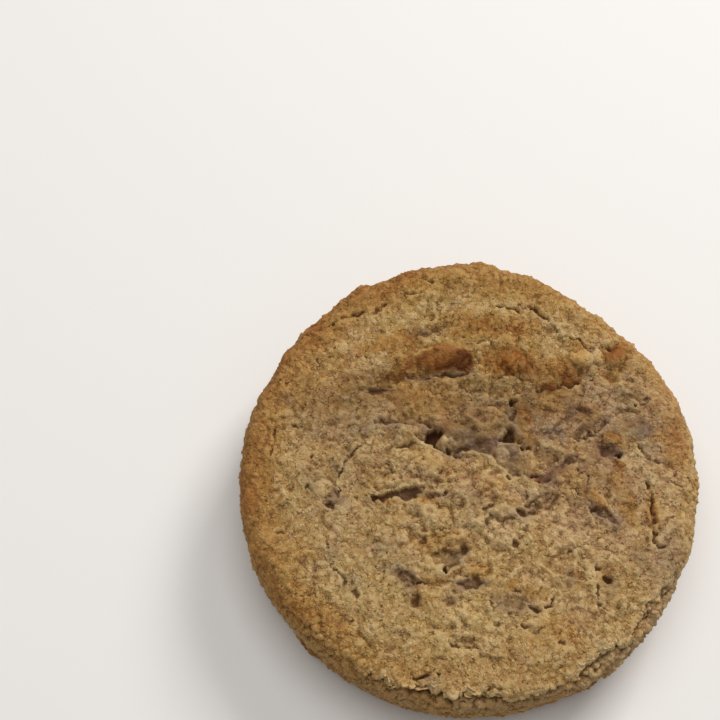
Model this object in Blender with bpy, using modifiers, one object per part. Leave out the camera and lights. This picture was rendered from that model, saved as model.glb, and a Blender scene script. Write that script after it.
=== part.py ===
"""Peanut butter cookie: one thick round cookie with an upright side and a torn, sunken top.

The blank is a turned profile. Its faces are made even, and every point is then moved along
its normal by the relief of the real cookie: a raised rim, a fold over a sunken middle, pits,
cracks, lumps and a pitted side. The underside stays flat. Sizes are in millimetres until the
finished mesh is scaled to metres.
"""
import math

import bpy
import numpy as np
from mathutils import Vector, noise

MM = 0.001

# Driving sizes of the cookie
DIAMETER = 70.0
THICKNESS = 16.0
FOOT_RADIUS = 0.965 * DIAMETER / 2
FOOT_ROUNDING = 1.6
SHOULDER_WIDTH = 3.6
SHOULDER_HEIGHT = 3.3
CROWN_DROP = 0.3

# Relief of the top: a raised rim round a shallow bowl, with a fold over its far side
BOWL_RADIUS = 26.0
BOWL_DEPTH = 1.2
BOWL_FLOOR = 0.45
FOLD_DROP = 1.4
FOLD_STEP = 1.2
FOLD_END = 3.5
FOLD_FADE_START = 2.0
FOLD_FADE = 13.0
LUMP_SPACING = 3.2
LUMP_HEIGHT = 0.55
RIM_LUMPINESS = 0.3
CRUMB_SPACING = 1.4
CRUMB_HEIGHT = 0.22
GRAIN_REACH = 0.75
SWAY = 0.35
SWAY_SPACING = 1.7
PIT_FLOOR = 0.5
PIT_EDGE = 1.15
CRACK_FLOOR = 0.15
CRACK_EDGE = 0.62

# Relief of the upright side: long low wrinkles and pores, and a slow swell
SIDE_TOP = 0.68 * THICKNESS
TOP_START = 0.9 * THICKNESS
SIDE_STRETCH = np.array([0.55, 0.55, 1.5])
WRINKLE_SPACING = 1.5
WRINKLE_HEIGHT = 0.45
PORE_SPACING = 1.25
PORE_START = 0.42
PORE_FULL = 0.8
PORE_DEPTH = 0.8
SWELL_SPACING = 9.0
SWELL_HEIGHT = 0.4

# Fineness of the solid
FACE_SIZE = 0.55
TURN_STEPS = 120
ARC_STEPS = 8
TARGET_TRIANGLES = 9000
FLAT_FOOT = 0.05
SEED_SHIFT = Vector((17.3, 4.1, 9.7))
SECOND_SHIFT = 40.0

CRUST_COLOUR = (0.36, 0.21, 0.09, 1.0)
CRUST_ROUGHNESS = 0.85

# Edge of the upper crust where it folds down over the sunken middle, from left to right
FOLD_LINE = [(-21, 13.5), (-16, 15.2), (-9, 16.8), (0.8, 17.0), (5.5, 15.6), (9, 16.0),
             (13, 14.6), (17, 15.3), (21, 16.6), (26, 16.2)]

# Pits: x, y, length, width, turn in degrees, depth
PITS = [
    (-5.7, 5.4, 3.4, 2.1, 20, 2.6),
    (-4.0, 3.4, 3.2, 1.3, -38, 2.0),
    (7.2, 10.9, 1.8, 1.4, 20, 1.8),
    (7.5, 9.0, 1.1, 2.2, 0, 1.0),
    (6.8, 5.5, 2.0, 2.0, 0, 1.5),
    (-8.6, -3.9, 2.4, 1.8, 15, 1.6),
    (-12.8, -4.3, 5.0, 1.5, 8, 1.1),
    (3.2, -5.8, 1.8, 0.9, 25, 0.8),
    (8.0, -6.8, 3.0, 1.4, -8, 1.4),
    (12.0, -1.6, 3.2, 1.3, 12, 0.9),
    (-7.2, -11.4, 1.3, 1.8, 10, 1.2),
    (-3.2, -13.4, 4.6, 2.3, 8, 1.5),
    (-3.6, -15.4, 2.0, 1.7, -10, 1.7),
    (-9.7, -17.1, 4.6, 2.2, -40, 1.1),
    (-8.6, -20.7, 1.7, 1.9, 0, 1.4),
    (-0.3, -18.1, 4.6, 1.2, 0, 0.9),
    (9.1, -21.8, 1.5, 1.1, -20, 1.0),
    (6.0, -21.2, 4.5, 2.0, -8, 0.6),
    (11.8, -20.8, 1.5, 1.1, 55, 1.2),
    (6.9, -12.3, 1.1, 1.5, 0, 1.0),
    (20.6, -17.2, 1.8, 1.3, 0, 1.4),
    (19.3, -15.7, 1.6, 1.0, -40, 1.0),
    (20.3, -7.1, 4.2, 1.7, -18, 1.3),
    (22.5, 3.1, 3.2, 1.7, -8, 1.6),
    (-21.5, -5.7, 1.4, 1.6, 0, 1.2),
    (-18.5, 2.1, 1.5, 1.0, 35, 1.2),
    (-17.4, -19.5, 1.1, 1.9, 25, 0.8),
    (-28.8, -10.4, 2.0, 0.9, -20, 0.7),
    (-13.5, 13.6, 4.2, 1.3, 5, 0.9),
    (-1.8, 16.9, 5.2, 1.2, -3, 0.8),
    (17.2, 15.0, 3.0, 1.1, 0, 0.8),
    (29.0, 12.2, 2.0, 1.0, 20, 0.8),
    (-21.4, 24.3, 2.0, 0.8, -12, 0.7),
    (27.7, -7.3, 1.1, 1.2, 0, 0.9),
]

# Cracks: width, depth and the points that each one follows
CRACKS = [
    (1.0, 1.0, [(-16.7, 3.5), (-18.3, 2.3), (-19.4, 1.1), (-19.5, 0.0), (-20.5, -1.4),
                (-20.2, -3.0), (-20.4, -4.4), (-21.5, -5.2)]),
    (1.0, 0.9, [(27.2, -1.6), (27.3, -4.2), (27.7, -6.5), (27.3, -9.3), (27.8, -11.3),
                (29.0, -12.2)]),
    (0.9, 0.8, [(5.5, 28.0), (8.0, 27.7), (10.4, 27.6), (12.8, 26.1), (15.5, 23.1),
                (18.3, 21.9), (19.6, 20.6), (22.5, 20.8)]),
    (0.9, 0.8, [(-25.9, 23.0), (-21.4, 24.4), (-18.5, 25.9), (-16.6, 26.3), (-12.5, 27.8)]),
    (1.0, 0.8, [(-8.0, 22.1), (-5.6, 22.4), (-3.8, 23.3), (-2.0, 24.2)]),
    (1.6, 0.9, [(-5.0, 6.8), (0.0, 4.6), (4.0, 2.8), (7.5, 0.2), (11.0, -1.6)]),
    (1.4, 0.8, [(11.0, -1.6), (13.8, 0.3), (15.2, 1.1), (17.3, 1.9)]),
    (0.9, 0.7, [(7.2, 10.5), (7.6, 9.0), (6.8, 7.2), (6.9, 5.8)]),
    (0.9, 0.7, [(18.4, 5.5), (20.3, 6.6), (22.0, 7.8)]),
    (0.9, 0.8, [(26.6, 4.2), (27.6, 3.2), (28.3, 2.2), (29.5, 1.6)]),
    (1.0, 0.7, [(8.6, -6.3), (9.9, -5.0), (12.0, -3.9)]),
    (0.9, 0.7, [(19.9, -16.5), (19.1, -18.4), (18.9, -20.6), (20.6, -22.2)]),
    (1.0, 0.7, [(-13.5, 8.1), (-9.0, 8.0), (-6.0, 7.0)]),
    (0.9, 0.6, [(-22.2, -9.8), (-21.5, -13.5), (-19.2, -16.8), (-19.1, -18.4)]),
    (0.9, 0.6, [(-3.6, -26.8), (-1.7, -27.5), (0.2, -27.9)]),
    (0.9, 0.6, [(-6.7, -18.5), (-4.4, -18.3), (-3.0, -17.6)]),
    (1.1, 1.0, [(-13.0, -32.6), (-8.8, -32.4), (-5.4, -31.8)]),
    (1.1, 1.0, [(-6.5, -34.0), (0.5, -34.5), (4.2, -34.2)]),
    (1.2, 1.1, [(16.8, -30.4), (20.4, -28.5), (24.0, -25.4), (26.6, -22.6), (27.9, -20.7)]),
]

# Lumps: x, y, length, width, turn in degrees, height
LUMPS = [
    (-9.4, 5.8, 5.0, 4.0, 20, 0.7),
    (-3.5, 4.9, 2.4, 2.2, 0, 1.0),
    (-1.4, 4.6, 2.6, 1.8, 0, 0.8),
    (2.5, 8.6, 7.0, 4.4, 0, 0.7),
    (-5.5, 0.6, 11.0, 4.6, -12, 0.7),
    (5.0, -2.6, 9.0, 4.6, -20, 0.5),
    (7.0, 3.4, 2.6, 2.4, 0, 0.7),
    (-22.3, -3.2, 4.6, 2.8, 8, 0.6),
    (22.6, 5.4, 3.2, 2.2, 10, 1.0),
    (19.0, 19.2, 3.4, 2.6, 10, 0.8),
    (21.3, 19.3, 2.0, 1.9, 0, 0.7),
    (24.6, 19.7, 4.4, 2.9, 25, 0.7),
    (-4.2, 19.2, 8.5, 2.9, 6, 0.8),
    (7.6, 18.2, 5.0, 2.8, 0, 0.6),
    (0.5, -16.2, 4.0, 1.7, 8, 0.5),
    (-3.0, -11.0, 5.0, 1.8, 0, 0.5),
    (19.7, -4.8, 3.4, 2.6, -30, 0.6),
    (23.2, -3.0, 3.0, 4.4, 0, 0.4),
    (-5.0, -22.6, 9.0, 3.6, -10, 0.4),
    (9.6, -24.0, 4.4, 2.0, 8, 0.5),
    (3.0, -27.6, 5.0, 3.4, 0, 0.4),
    (-7.2, -33.6, 5.2, 2.0, 6, 0.6),
    (6.0, -33.4, 5.6, 1.6, 4, 0.5),
]

# Dents and bulges of the outline: direction in degrees, half-width in degrees, size
OUTLINE_CHANGES = [(52, 11, -1.1), (75, 14, -0.3), (-45, 22, 0.5), (118, 18, 0.3),
                   (-140, 16, -0.35), (195, 16, 0.3), (-82, 10, 0.25)]


def clear_scene():
    """Start from an empty scene."""
    for old in list(bpy.data.objects):
        bpy.data.objects.remove(old)


def ramp(low, high, value):
    """Smooth step from 0 at low to 1 at high."""
    t = np.clip((value - low) / (high - low), 0.0, 1.0)
    return t * t * (3.0 - 2.0 * t)


def oval_distance(x, y, oval):
    """Distance from an oval's middle, measured so that its edge is at 1."""
    cx, cy, length, width, turn = oval
    a = math.radians(turn)
    along = (x - cx) * math.cos(a) + (y - cy) * math.sin(a)
    across = (y - cy) * math.cos(a) - (x - cx) * math.sin(a)
    return np.hypot(along / (length / 2), across / (width / 2))


def line_distance(x, y, points):
    """Distance to the nearest stretch of a line through the points."""
    nearest = np.full_like(x, 1e6)
    for (x0, y0), (x1, y1) in zip(points, points[1:]):
        dx, dy = x1 - x0, y1 - y0
        t = np.clip(((x - x0) * dx + (y - y0) * dy) / (dx * dx + dy * dy), 0.0, 1.0)
        nearest = np.minimum(nearest, np.hypot(x - x0 - t * dx, y - y0 - t * dy))
    return nearest


def wave(points, spacing):
    """Smooth noise from -1 to 1 at each point, with hills about one spacing apart."""
    return np.array([noise.noise(Vector(p) / spacing + SEED_SHIFT) for p in points])


def grains(points, spacing):
    """Rounded grains packed side by side: 1 on a grain's middle, 0 in the gaps."""
    away = [noise.voronoi(Vector(p) / spacing + SEED_SHIFT)[0][0] for p in points]
    return 1.0 - np.clip(np.array(away) / GRAIN_REACH, 0.0, 1.0) ** 2


def half_profile():
    """Half section of the blank as (radius, height), from the top's middle to the foot's."""
    rim = DIAMETER / 2
    shelf = THICKNESS - CROWN_DROP
    points = [(0.0, THICKNESS), (0.5 * rim, THICKNESS), (rim - SHOULDER_WIDTH, shelf)]
    for a in np.linspace(0.0, math.pi / 2, ARC_STEPS + 1)[1:]:
        points.append((rim - SHOULDER_WIDTH * (1 - math.sin(a)),
                       shelf - SHOULDER_HEIGHT * (1 - math.cos(a))))
    for a in np.linspace(0.0, math.pi / 2, ARC_STEPS + 1):
        points.append((FOOT_RADIUS - FOOT_ROUNDING * (1 - math.cos(a)),
                       FOOT_ROUNDING * (1 - math.sin(a))))
    points.append((0.0, 0.0))
    return points


def even_blank():
    """Turn the half profile about Z, and cover the blank with even faces."""
    points = [(r * MM, 0.0, z * MM) for r, z in half_profile()]
    profile = bpy.data.meshes.new("blank_profile")
    profile.from_pydata(points, [(i, i + 1) for i in range(len(points) - 1)], [])
    blank = bpy.data.objects.new("blank", profile)
    bpy.context.scene.collection.objects.link(blank)
    turn = blank.modifiers.new("turn", "SCREW")
    turn.steps = TURN_STEPS
    turn.render_steps = TURN_STEPS
    turn.use_merge_vertices = True
    turn.merge_threshold = 0.00001
    even = blank.modifiers.new("even_faces", "REMESH")
    even.mode = "VOXEL"
    even.voxel_size = FACE_SIZE * MM
    mesh = evaluated_mesh(blank)
    bpy.data.objects.remove(blank)
    return mesh


def evaluated_mesh(thing):
    """The object's mesh with its modifiers applied."""
    graph = bpy.context.evaluated_depsgraph_get()
    graph.update()
    return bpy.data.meshes.new_from_object(thing.evaluated_get(graph))


def fold_height(x, y):
    """Drop of the surface in front of the fold, fading towards the front."""
    line_x, line_y = np.array(FOLD_LINE, dtype=float).T
    ahead = np.interp(x, line_x, line_y) - y
    left = ramp(line_x[0] - FOLD_END, line_x[0] + FOLD_END, x)
    right = ramp(line_x[-1] + FOLD_END, line_x[-1] - FOLD_END, x)
    fade = 1.0 - ramp(FOLD_FADE_START, FOLD_FADE, ahead)
    return -FOLD_DROP * ramp(0.0, FOLD_STEP, ahead) * fade * left * right


def top_relief(points):
    """Height change over the top at each point."""
    x = points[:, 0] + SWAY * wave(points, SWAY_SPACING)
    y = points[:, 1] + SWAY * wave(points + SECOND_SHIFT, SWAY_SPACING)
    bowl = 1.0 - ramp(BOWL_FLOOR * BOWL_RADIUS, BOWL_RADIUS, np.hypot(x, y))
    height = fold_height(x, y) - BOWL_DEPTH * bowl
    lumpiness = RIM_LUMPINESS + (1.0 - RIM_LUMPINESS) * bowl
    height += LUMP_HEIGHT * wave(points, LUMP_SPACING) * lumpiness
    height += CRUMB_HEIGHT * (grains(points, CRUMB_SPACING) - 0.5)
    for *oval, rise in LUMPS:
        height += rise * np.sqrt(np.clip(1.0 - oval_distance(x, y, oval) ** 2, 0.0, 1.0))
    cut = np.zeros_like(x)
    for *oval, depth in PITS:
        inside = 1.0 - ramp(PIT_FLOOR, PIT_EDGE, oval_distance(x, y, oval))
        cut = np.maximum(cut, depth * inside)
    for width, depth, line in CRACKS:
        inside = 1.0 - ramp(CRACK_FLOOR, CRACK_EDGE, line_distance(x, y, line) / width)
        cut = np.maximum(cut, depth * inside)
    return height - cut


def side_relief(points):
    """Height change round the upright side at each point."""
    stretched = points * SIDE_STRETCH
    wrinkles = wave(stretched, WRINKLE_SPACING)
    pores = ramp(PORE_START, PORE_FULL, wave(stretched + SECOND_SHIFT, PORE_SPACING))
    swell = wave(points, SWELL_SPACING)
    return WRINKLE_HEIGHT * wrinkles + SWELL_HEIGHT * swell - PORE_DEPTH * pores


def outline_change(x, y):
    """How far the outline stands out or in at each direction."""
    direction = np.degrees(np.arctan2(y, x))
    change = np.zeros_like(x)
    for middle, spread, size in OUTLINE_CHANGES:
        off = (direction - middle + 180.0) % 360.0 - 180.0
        change += size * np.exp(-((off / spread) ** 2))
    return change


def read_vectors(mesh, name):
    """A vector of each vertex, such as its place or its normal, as rows of an array."""
    flat = np.empty(len(mesh.vertices) * 3)
    mesh.vertices.foreach_get(name, flat)
    return flat.reshape(-1, 3)


def place_vertices(mesh, points):
    """Move the mesh's vertices to the given points."""
    mesh.vertices.foreach_set("co", points.ravel())
    mesh.update()


def add_relief(mesh):
    """Move every point of the blank along its normal by the relief, except underneath."""
    points = read_vectors(mesh, "co") / MM
    upper = ramp(SIDE_TOP, TOP_START, points[:, 2])
    above_foot = ramp(0.2 * FOOT_ROUNDING, 1.4 * FOOT_ROUNDING, points[:, 2])
    height = upper * top_relief(points) + (1.0 - upper) * above_foot * side_relief(points)
    moved = points + read_vectors(mesh, "normal") * height[:, None]
    x, y = points[:, 0], points[:, 1]
    share = outline_change(x, y) * np.hypot(x, y) / (DIAMETER / 2) ** 2
    moved[:, :2] *= 1.0 + share[:, None]
    place_vertices(mesh, moved * MM)


def thin_faces(cookie):
    """Keep small faces where the relief is sharp, and large ones where it is flat."""
    cookie.data.calc_loop_triangles()
    thin = cookie.modifiers.new("thin", "DECIMATE")
    thin.ratio = TARGET_TRIANGLES / len(cookie.data.loop_triangles)
    thinned = evaluated_mesh(cookie)
    cookie.modifiers.clear()
    cookie.data = thinned


def seat(mesh):
    """Level the underside exactly, and centre the outline on the origin."""
    points = read_vectors(mesh, "co")
    outline = points[:, :2]
    outline -= (outline.max(axis=0) + outline.min(axis=0)) / 2
    points[points[:, 2] < FLAT_FOOT * MM, 2] = 0.0
    place_vertices(mesh, points)


def crust_material():
    """Golden brown baked crust, dry and rough."""
    crust = bpy.data.materials.new("crust")
    crust.use_nodes = True
    shader = crust.node_tree.nodes["Principled BSDF"]
    shader.inputs["Base Color"].default_value = CRUST_COLOUR
    shader.inputs["Roughness"].default_value = CRUST_ROUGHNESS
    crust.diffuse_color = CRUST_COLOUR
    return crust


def make_cookie():
    """Build the cookie as one closed solid in its own collection."""
    mesh = even_blank()
    add_relief(mesh)
    cookie = bpy.data.objects.new("cookie", mesh)
    batch = bpy.data.collections.new("peanut_butter_cookie")
    bpy.context.scene.collection.children.link(batch)
    batch.objects.link(cookie)
    thin_faces(cookie)
    seat(cookie.data)
    cookie.data.materials.append(crust_material())
    cookie.data.shade_smooth()


clear_scene()
make_cookie()
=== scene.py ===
# %% [markdown]
# # A thick peanut butter cookie
#
# The real cookie was baked in a ring, so it has an upright side. Its top rose, tore and then
# sank, which left a raised rim, a browned fold over a shallow bowl, pits, cracks and crumb.
#
# The lesson goes from large to small: a turned blank, the relief of the top, side and
# underside, the baked colours, and then loose crumbs and flakes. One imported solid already
# fixes the size and the place, and the fine surface made here stands in for it.

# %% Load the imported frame
import math

import bpy
import numpy as np
from mathutils import Matrix, Vector, noise


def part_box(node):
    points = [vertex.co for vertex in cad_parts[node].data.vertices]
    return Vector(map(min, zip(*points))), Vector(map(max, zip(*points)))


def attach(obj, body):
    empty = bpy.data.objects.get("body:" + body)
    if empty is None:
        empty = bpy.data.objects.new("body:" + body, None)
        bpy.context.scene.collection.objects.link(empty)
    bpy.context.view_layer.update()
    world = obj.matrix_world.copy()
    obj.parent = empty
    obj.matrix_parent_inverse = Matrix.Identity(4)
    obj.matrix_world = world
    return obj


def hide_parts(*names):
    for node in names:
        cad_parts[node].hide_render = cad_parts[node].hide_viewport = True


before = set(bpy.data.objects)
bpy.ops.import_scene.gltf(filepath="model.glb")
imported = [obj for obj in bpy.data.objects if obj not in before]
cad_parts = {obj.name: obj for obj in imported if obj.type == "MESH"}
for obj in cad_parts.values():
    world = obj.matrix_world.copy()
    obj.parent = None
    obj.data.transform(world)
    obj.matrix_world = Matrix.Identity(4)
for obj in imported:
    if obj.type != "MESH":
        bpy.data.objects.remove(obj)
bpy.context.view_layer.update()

cad_low, cad_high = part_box("cookie")
print("solid", [round(1000 * side, 2) for side in cad_high - cad_low], "mm")

# %% [markdown]
# ## Driving sizes
#
# All sizes below are millimetres, which suit a biscuit, and MM turns them into Blender's
# metres. The diameter and thickness are those of the solid before its relief, so that the
# same relief gives the same outline.

# %% Sizes of the blank
MM = 0.001
DIAMETER = 70.0
THICKNESS = 16.0
RIM = DIAMETER / 2
FOOT_RADIUS = 0.965 * RIM
FOOT_ROUNDING = 1.6
SHOULDER = 3.0
CROWN_DROP = 0.3
FACE_SIZE = 0.24
MOST_TRIANGLES = 196000
SEED = np.array([17.3, 4.1, 9.7])
SECOND_SHIFT = 40.0

# %% [markdown]
# ## Small helpers
#
# Smooth steps, the distance from an oval or a drawn line, and two kinds of noise are all the
# mathematics that the relief needs. Each works on whole arrays of points at once.

# %% Steps
def ramp(low, high, value):
    """Smooth step from 0 at low to 1 at high."""
    t = np.clip((value - low) / (high - low), 0.0, 1.0)
    return t * t * (3.0 - 2.0 * t)


def fall(low, high, value):
    """Smooth step from 1 at low to 0 at high."""
    return 1.0 - ramp(low, high, value)


def bell(middle, width, value, power=2):
    """A rounded rise to 1 round the middle."""
    return np.exp(-(((value - middle) / width) ** power))


# %% Distances
def oval_distance(x, y, oval):
    """Distance from an oval's middle, measured so that its edge is at 1. The oval is x, y,
    length, width and, where it is turned, the turn in degrees."""
    cx, cy, length, width, turn = (*oval, 0)[:5]
    a = math.radians(turn)
    along = (x - cx) * math.cos(a) + (y - cy) * math.sin(a)
    across = (y - cy) * math.cos(a) - (x - cx) * math.sin(a)
    return np.hypot(along / (length / 2), across / (width / 2))


def line_distance(x, y, points):
    """Distance to the nearest stretch of a line through the points."""
    nearest = np.full_like(x, 1e6)
    for (x0, y0), (x1, y1) in zip(points, points[1:]):
        dx, dy = x1 - x0, y1 - y0
        t = np.clip(((x - x0) * dx + (y - y0) * dy) / (dx * dx + dy * dy), 0.0, 1.0)
        nearest = np.minimum(nearest, np.hypot(x - x0 - t * dx, y - y0 - t * dy))
    return nearest


def painted(x, y, places, spread=0.45):
    """The strongest of the painted places at each point, with a soft edge."""
    most = np.zeros_like(x)
    for *oval, strength in places:
        away = oval_distance(x, y, oval)
        most = np.maximum(most, strength * fall(1.0 - spread, 1.0 + spread, away))
    return most


# %% Two kinds of noise
LOT_MIX, LOT_SPREAD = np.array([12.9898, 78.233, 37.719]), 43758.5453


def wave(points, spacing):
    """Smooth noise from -1 to 1, with hills about one spacing apart."""
    return np.array([noise.noise(p) for p in (points / spacing + SEED).tolist()])


def cells(points, spacing):
    """Split space into cells round scattered middles. Returns for each point the distance
    to the nearest and second nearest middle, and a lot from 0 to 1 that its cell drew."""
    near, second, middles = [], [], []
    for p in (points / spacing + SEED).tolist():
        away, places = noise.voronoi(p)
        near.append(away[0])
        second.append(away[1])
        middles.append(places[0])
    lots = np.array(middles) @ LOT_MIX
    return np.array(near), np.array(second), (np.sin(lots) * LOT_SPREAD) % 1.0


def dome(near, reach=0.75):
    """A rounded grain in its cell: 1 on the middle, 0 in the gaps."""
    return 1.0 - np.clip(near / reach, 0.0, 1.0) ** 2


def warped(points, reach, spacing):
    """Push points about by smooth noise, so that cells lose their even edges."""
    push = [wave(points + step * SECOND_SHIFT, spacing) for step in (1, 2, 3)]
    return points + reach * np.column_stack(push)


def swayed(x, y, points, sways, shift=SECOND_SHIFT):
    """Push places about on the flat, by a reach and a spacing each, so that drawn marks
    lose their even edges."""
    for reach, spacing in sways:
        x = x + reach * wave(points, spacing)
        y = y + reach * wave(points + shift, spacing)
    return x, y


def flat(x, y):
    return np.column_stack([x, y, 0.0 * x])


# %% [markdown]
# ## The blank: a profile turned by Geometry Nodes
#
# A ring-baked cookie is a turned shape before it tears, so its blank follows a rule. The
# tree below rounds two corners of a four-point profile, samples it along a grid and bends
# the grid round Z. A Remesh modifier then makes the faces even, because relief needs
# points everywhere and not only where a lathe would put them.

# %% Build node trees
GEOMETRY, SHADER = "GeometryNodeTree", "ShaderNodeTree"


def put(tree, value, slot):
    """Link a socket to an input, or set the input to a plain value."""
    if isinstance(value, bpy.types.NodeSocket):
        tree.links.new(value, slot)
    else:
        slot.default_value = value


def give(tree, values, slots):
    """Link or set many inputs at once."""
    for slot, value in values.items():
        put(tree, value, slots[slot])


def add(tree, kind, values=None, **settings):
    """Add a node with its settings and its inputs, by name or number. Returns its outputs."""
    node = tree.nodes.new(kind)
    for name, value in settings.items():
        setattr(node, name, value)
    give(tree, values or {}, node.inputs)
    return node.outputs


def new_tree(name, kind, inputs, outputs):
    """A node tree with named sockets, each a name, a type and, for some inputs, a value."""
    tree = bpy.data.node_groups.new(name, kind)
    for way, sockets in (("INPUT", inputs), ("OUTPUT", outputs)):
        for label, holds, *value in sockets:
            socket = tree.interface.new_socket(label, in_out=way,
                                               socket_type="NodeSocket" + holds)
            if value:
                socket.default_value = value[0]
    start, end = tree.nodes.new("NodeGroupInput"), tree.nodes.new("NodeGroupOutput")
    return tree, start.outputs, end.inputs


def worked(tree, operation, *values):
    """The result of a Math node on sockets or plain numbers."""
    return add(tree, "ShaderNodeMath", dict(enumerate(values)), operation=operation)[0]


def times(tree, first, second):
    return worked(tree, "MULTIPLY", first, second)


def minus(tree, first, second):
    return worked(tree, "SUBTRACT", first, second)


def vector_of(tree, *values):
    """A vector from sockets or plain numbers, with 0 for what is left out."""
    return add(tree, "ShaderNodeCombineXYZ", dict(enumerate(values)))[0]


def close_tree(tree, shape, coat, out):
    """End a tree with real faces and their material, because an export drops instances."""
    real = add(tree, "GeometryNodeRealizeInstances", {0: shape})[0]
    faced = add(tree, "GeometryNodeSetMaterial", {"Geometry": real, "Material": coat})[0]
    put(tree, faced, out[0])


# %% The turning tree
CORNER_POINTS, SAME_CORNER, WELD = 10, 0.1, 1e-6


def turning_tree():
    """Turn a rounded profile about Z. Sizes are metres."""
    tree, size, out = new_tree("turned_blank", GEOMETRY, [
        ("Geometry", "Geometry"), ("Radius", "Float", 0.035), ("Thickness", "Float", 0.016),
        ("Crown drop", "Float", 0.0003), ("Shoulder", "Float", 0.003),
        ("Foot radius", "Float", 0.0338), ("Foot rounding", "Float", 0.0016),
        ("Profile points", "Int", 160), ("Turn points", "Int", 256),
        ("Dough", "Material")], [("Geometry", "Geometry")])
    shelf = minus(tree, size["Thickness"], size["Crown drop"])
    corners = [(0.0, size["Thickness"]), (size["Radius"], shelf), (size["Foot radius"], 0.0), ()]
    points = {f"Point {at}": vector_of(tree, *place) for at, place in enumerate(corners, 1)}
    profile = add(tree, "GeometryNodeCurvePrimitiveQuadrilateral", points, mode="POINTS")[0]
    opened = add(tree, "GeometryNodeSetSplineCyclic", {"Geometry": profile, "Cyclic": False})[0]
    index = add(tree, "GeometryNodeInputIndex")[0]
    at_shoulder, at_foot = (worked(tree, "COMPARE", index, at, SAME_CORNER) for at in (1.0, 2.0))
    rounding = worked(tree, "ADD", times(tree, at_shoulder, size["Shoulder"]),
                      times(tree, at_foot, size["Foot rounding"]))
    fillet = add(tree, "GeometryNodeFilletCurve", {
        "Curve": opened, "Radius": rounding, "Limit Radius": True, "Count": CORNER_POINTS},
        mode="POLY")[0]
    grid = add(tree, "GeometryNodeMeshGrid", {
        "Size X": 1.0, "Size Y": 1.0, "Vertices X": size["Profile points"],
        "Vertices Y": size["Turn points"]})
    place = add(tree, "ShaderNodeSeparateXYZ", {0: add(tree, "GeometryNodeInputPosition")[0]})
    sample = add(tree, "GeometryNodeSampleCurve", {
        "Curves": fillet, "Factor": worked(tree, "ADD", place["X"], 0.5)}, mode="FACTOR")
    point = add(tree, "ShaderNodeSeparateXYZ", {0: sample["Position"]})
    angle = times(tree, place["Y"], 2.0 * math.pi)
    turned = vector_of(tree, times(tree, point["X"], worked(tree, "COSINE", angle)),
                       times(tree, point["X"], worked(tree, "SINE", angle)), point["Y"])
    moved = add(tree, "GeometryNodeSetPosition", {"Geometry": grid["Mesh"], "Position": turned})[0]
    merged = add(tree, "GeometryNodeMergeByDistance", {"Geometry": moved, "Distance": WELD})[0]
    close_tree(tree, merged, size["Dough"], out)
    return tree


# %% Run a tree on an object and keep a plain mesh
def set_inputs(modifier, values):
    """Set a tree's inputs by the identifiers of its named sockets."""
    for item in modifier.node_group.interface.items_tree:
        if item.item_type == "SOCKET" and item.in_out == "INPUT" and item.name in values:
            modifier[item.identifier] = values[item.name]


def settle(thing):
    """Replace an object's mesh by its evaluated one, and drop its modifiers."""
    graph = bpy.context.evaluated_depsgraph_get()
    graph.update()
    mesh = bpy.data.meshes.new_from_object(thing.evaluated_get(graph))
    thing.modifiers.clear()
    thing.data = mesh
    mesh.name = thing.name
    return mesh


def new_object(name, mesh=None):
    thing = bpy.data.objects.new(name, mesh or bpy.data.meshes.new(name))
    bpy.context.scene.collection.objects.link(thing)
    return thing


cookie = new_object("cookie_crust")
turning = cookie.modifiers.new("turning", "NODES")
turning.node_group = turning_tree()
set_inputs(turning, {"Radius": RIM * MM, "Thickness": THICKNESS * MM,
                     "Crown drop": CROWN_DROP * MM, "Shoulder": SHOULDER * MM,
                     "Foot radius": FOOT_RADIUS * MM, "Foot rounding": FOOT_ROUNDING * MM})
even = cookie.modifiers.new("even_faces", "REMESH")
even.mode = "VOXEL"
even.voxel_size = FACE_SIZE * MM
blank = settle(cookie)
print("blank", len(blank.vertices), "points", [round(1000 * s, 2) for s in cookie.dimensions])

# %% [markdown]
# ## The top: a fold, a bowl, pits, cracks and lumps
#
# The oven left marks that are particular to this cookie, so they are drawn as ovals,
# closed outlines and lines in millimetres, seen from above with the front at the bottom.
# Each mark also says how mauve it is, because the moist crumb that never browned is
# grey-mauve, and the same mauve also paints the shade under the fold and round some pits.
# The broad shapes come first, and the narrow ones are cut into them.

# %% The fold and the bowl
BOWL_RADIUS, BOWL_DEPTH, BOWL_FLOOR = 26.0, 1.2, 0.45
FOLD_DROP, FOLD_BACK, FOLD_FRONT = 1.6, -3.2, 0.5
FOLD_FADE_START, FOLD_FADE = 2.0, 13.0
LIP_MIDDLE, LIP_REACH, LIP_WIDTH = -0.3, 0.5, 1.3
FOLD_LINE = [
    (-21, 12.5), (-16, 13.9), (-12, 15.2), (-9, 16.6), (-5, 17.2), (0.8, 17.3), (4, 16),
    (5.5, 15.6), (9, 16), (13, 14.6), (17, 15.3), (18.5, 16.4), (21, 16.7), (23, 16), (26, 16.4),
]
# Place along the fold, and its strength there
FOLD_STRENGTH = [
    (-24, 0), (-17, 0.6), (-13, 0.85), (-9.5, 0.7), (-6, 1), (-1, 0.9), (0.8, 0.5), (2.5, 0.4),
    (5, 0.65), (9, 0.55), (12.5, 0.7), (15, 0.85), (18.5, 0.75), (21, 0.5), (24, 0.5), (29, 0),
]


def bowl_share(x, y):
    return fall(BOWL_FLOOR * BOWL_RADIUS, BOWL_RADIUS, np.hypot(x, y))


def fold_ahead(x, y):
    """How far a point lies in front of the fold, and how strong the fold is there."""
    return (np.interp(x, *np.transpose(FOLD_LINE)) - y,
            np.interp(x, *np.transpose(FOLD_STRENGTH)))


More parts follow.
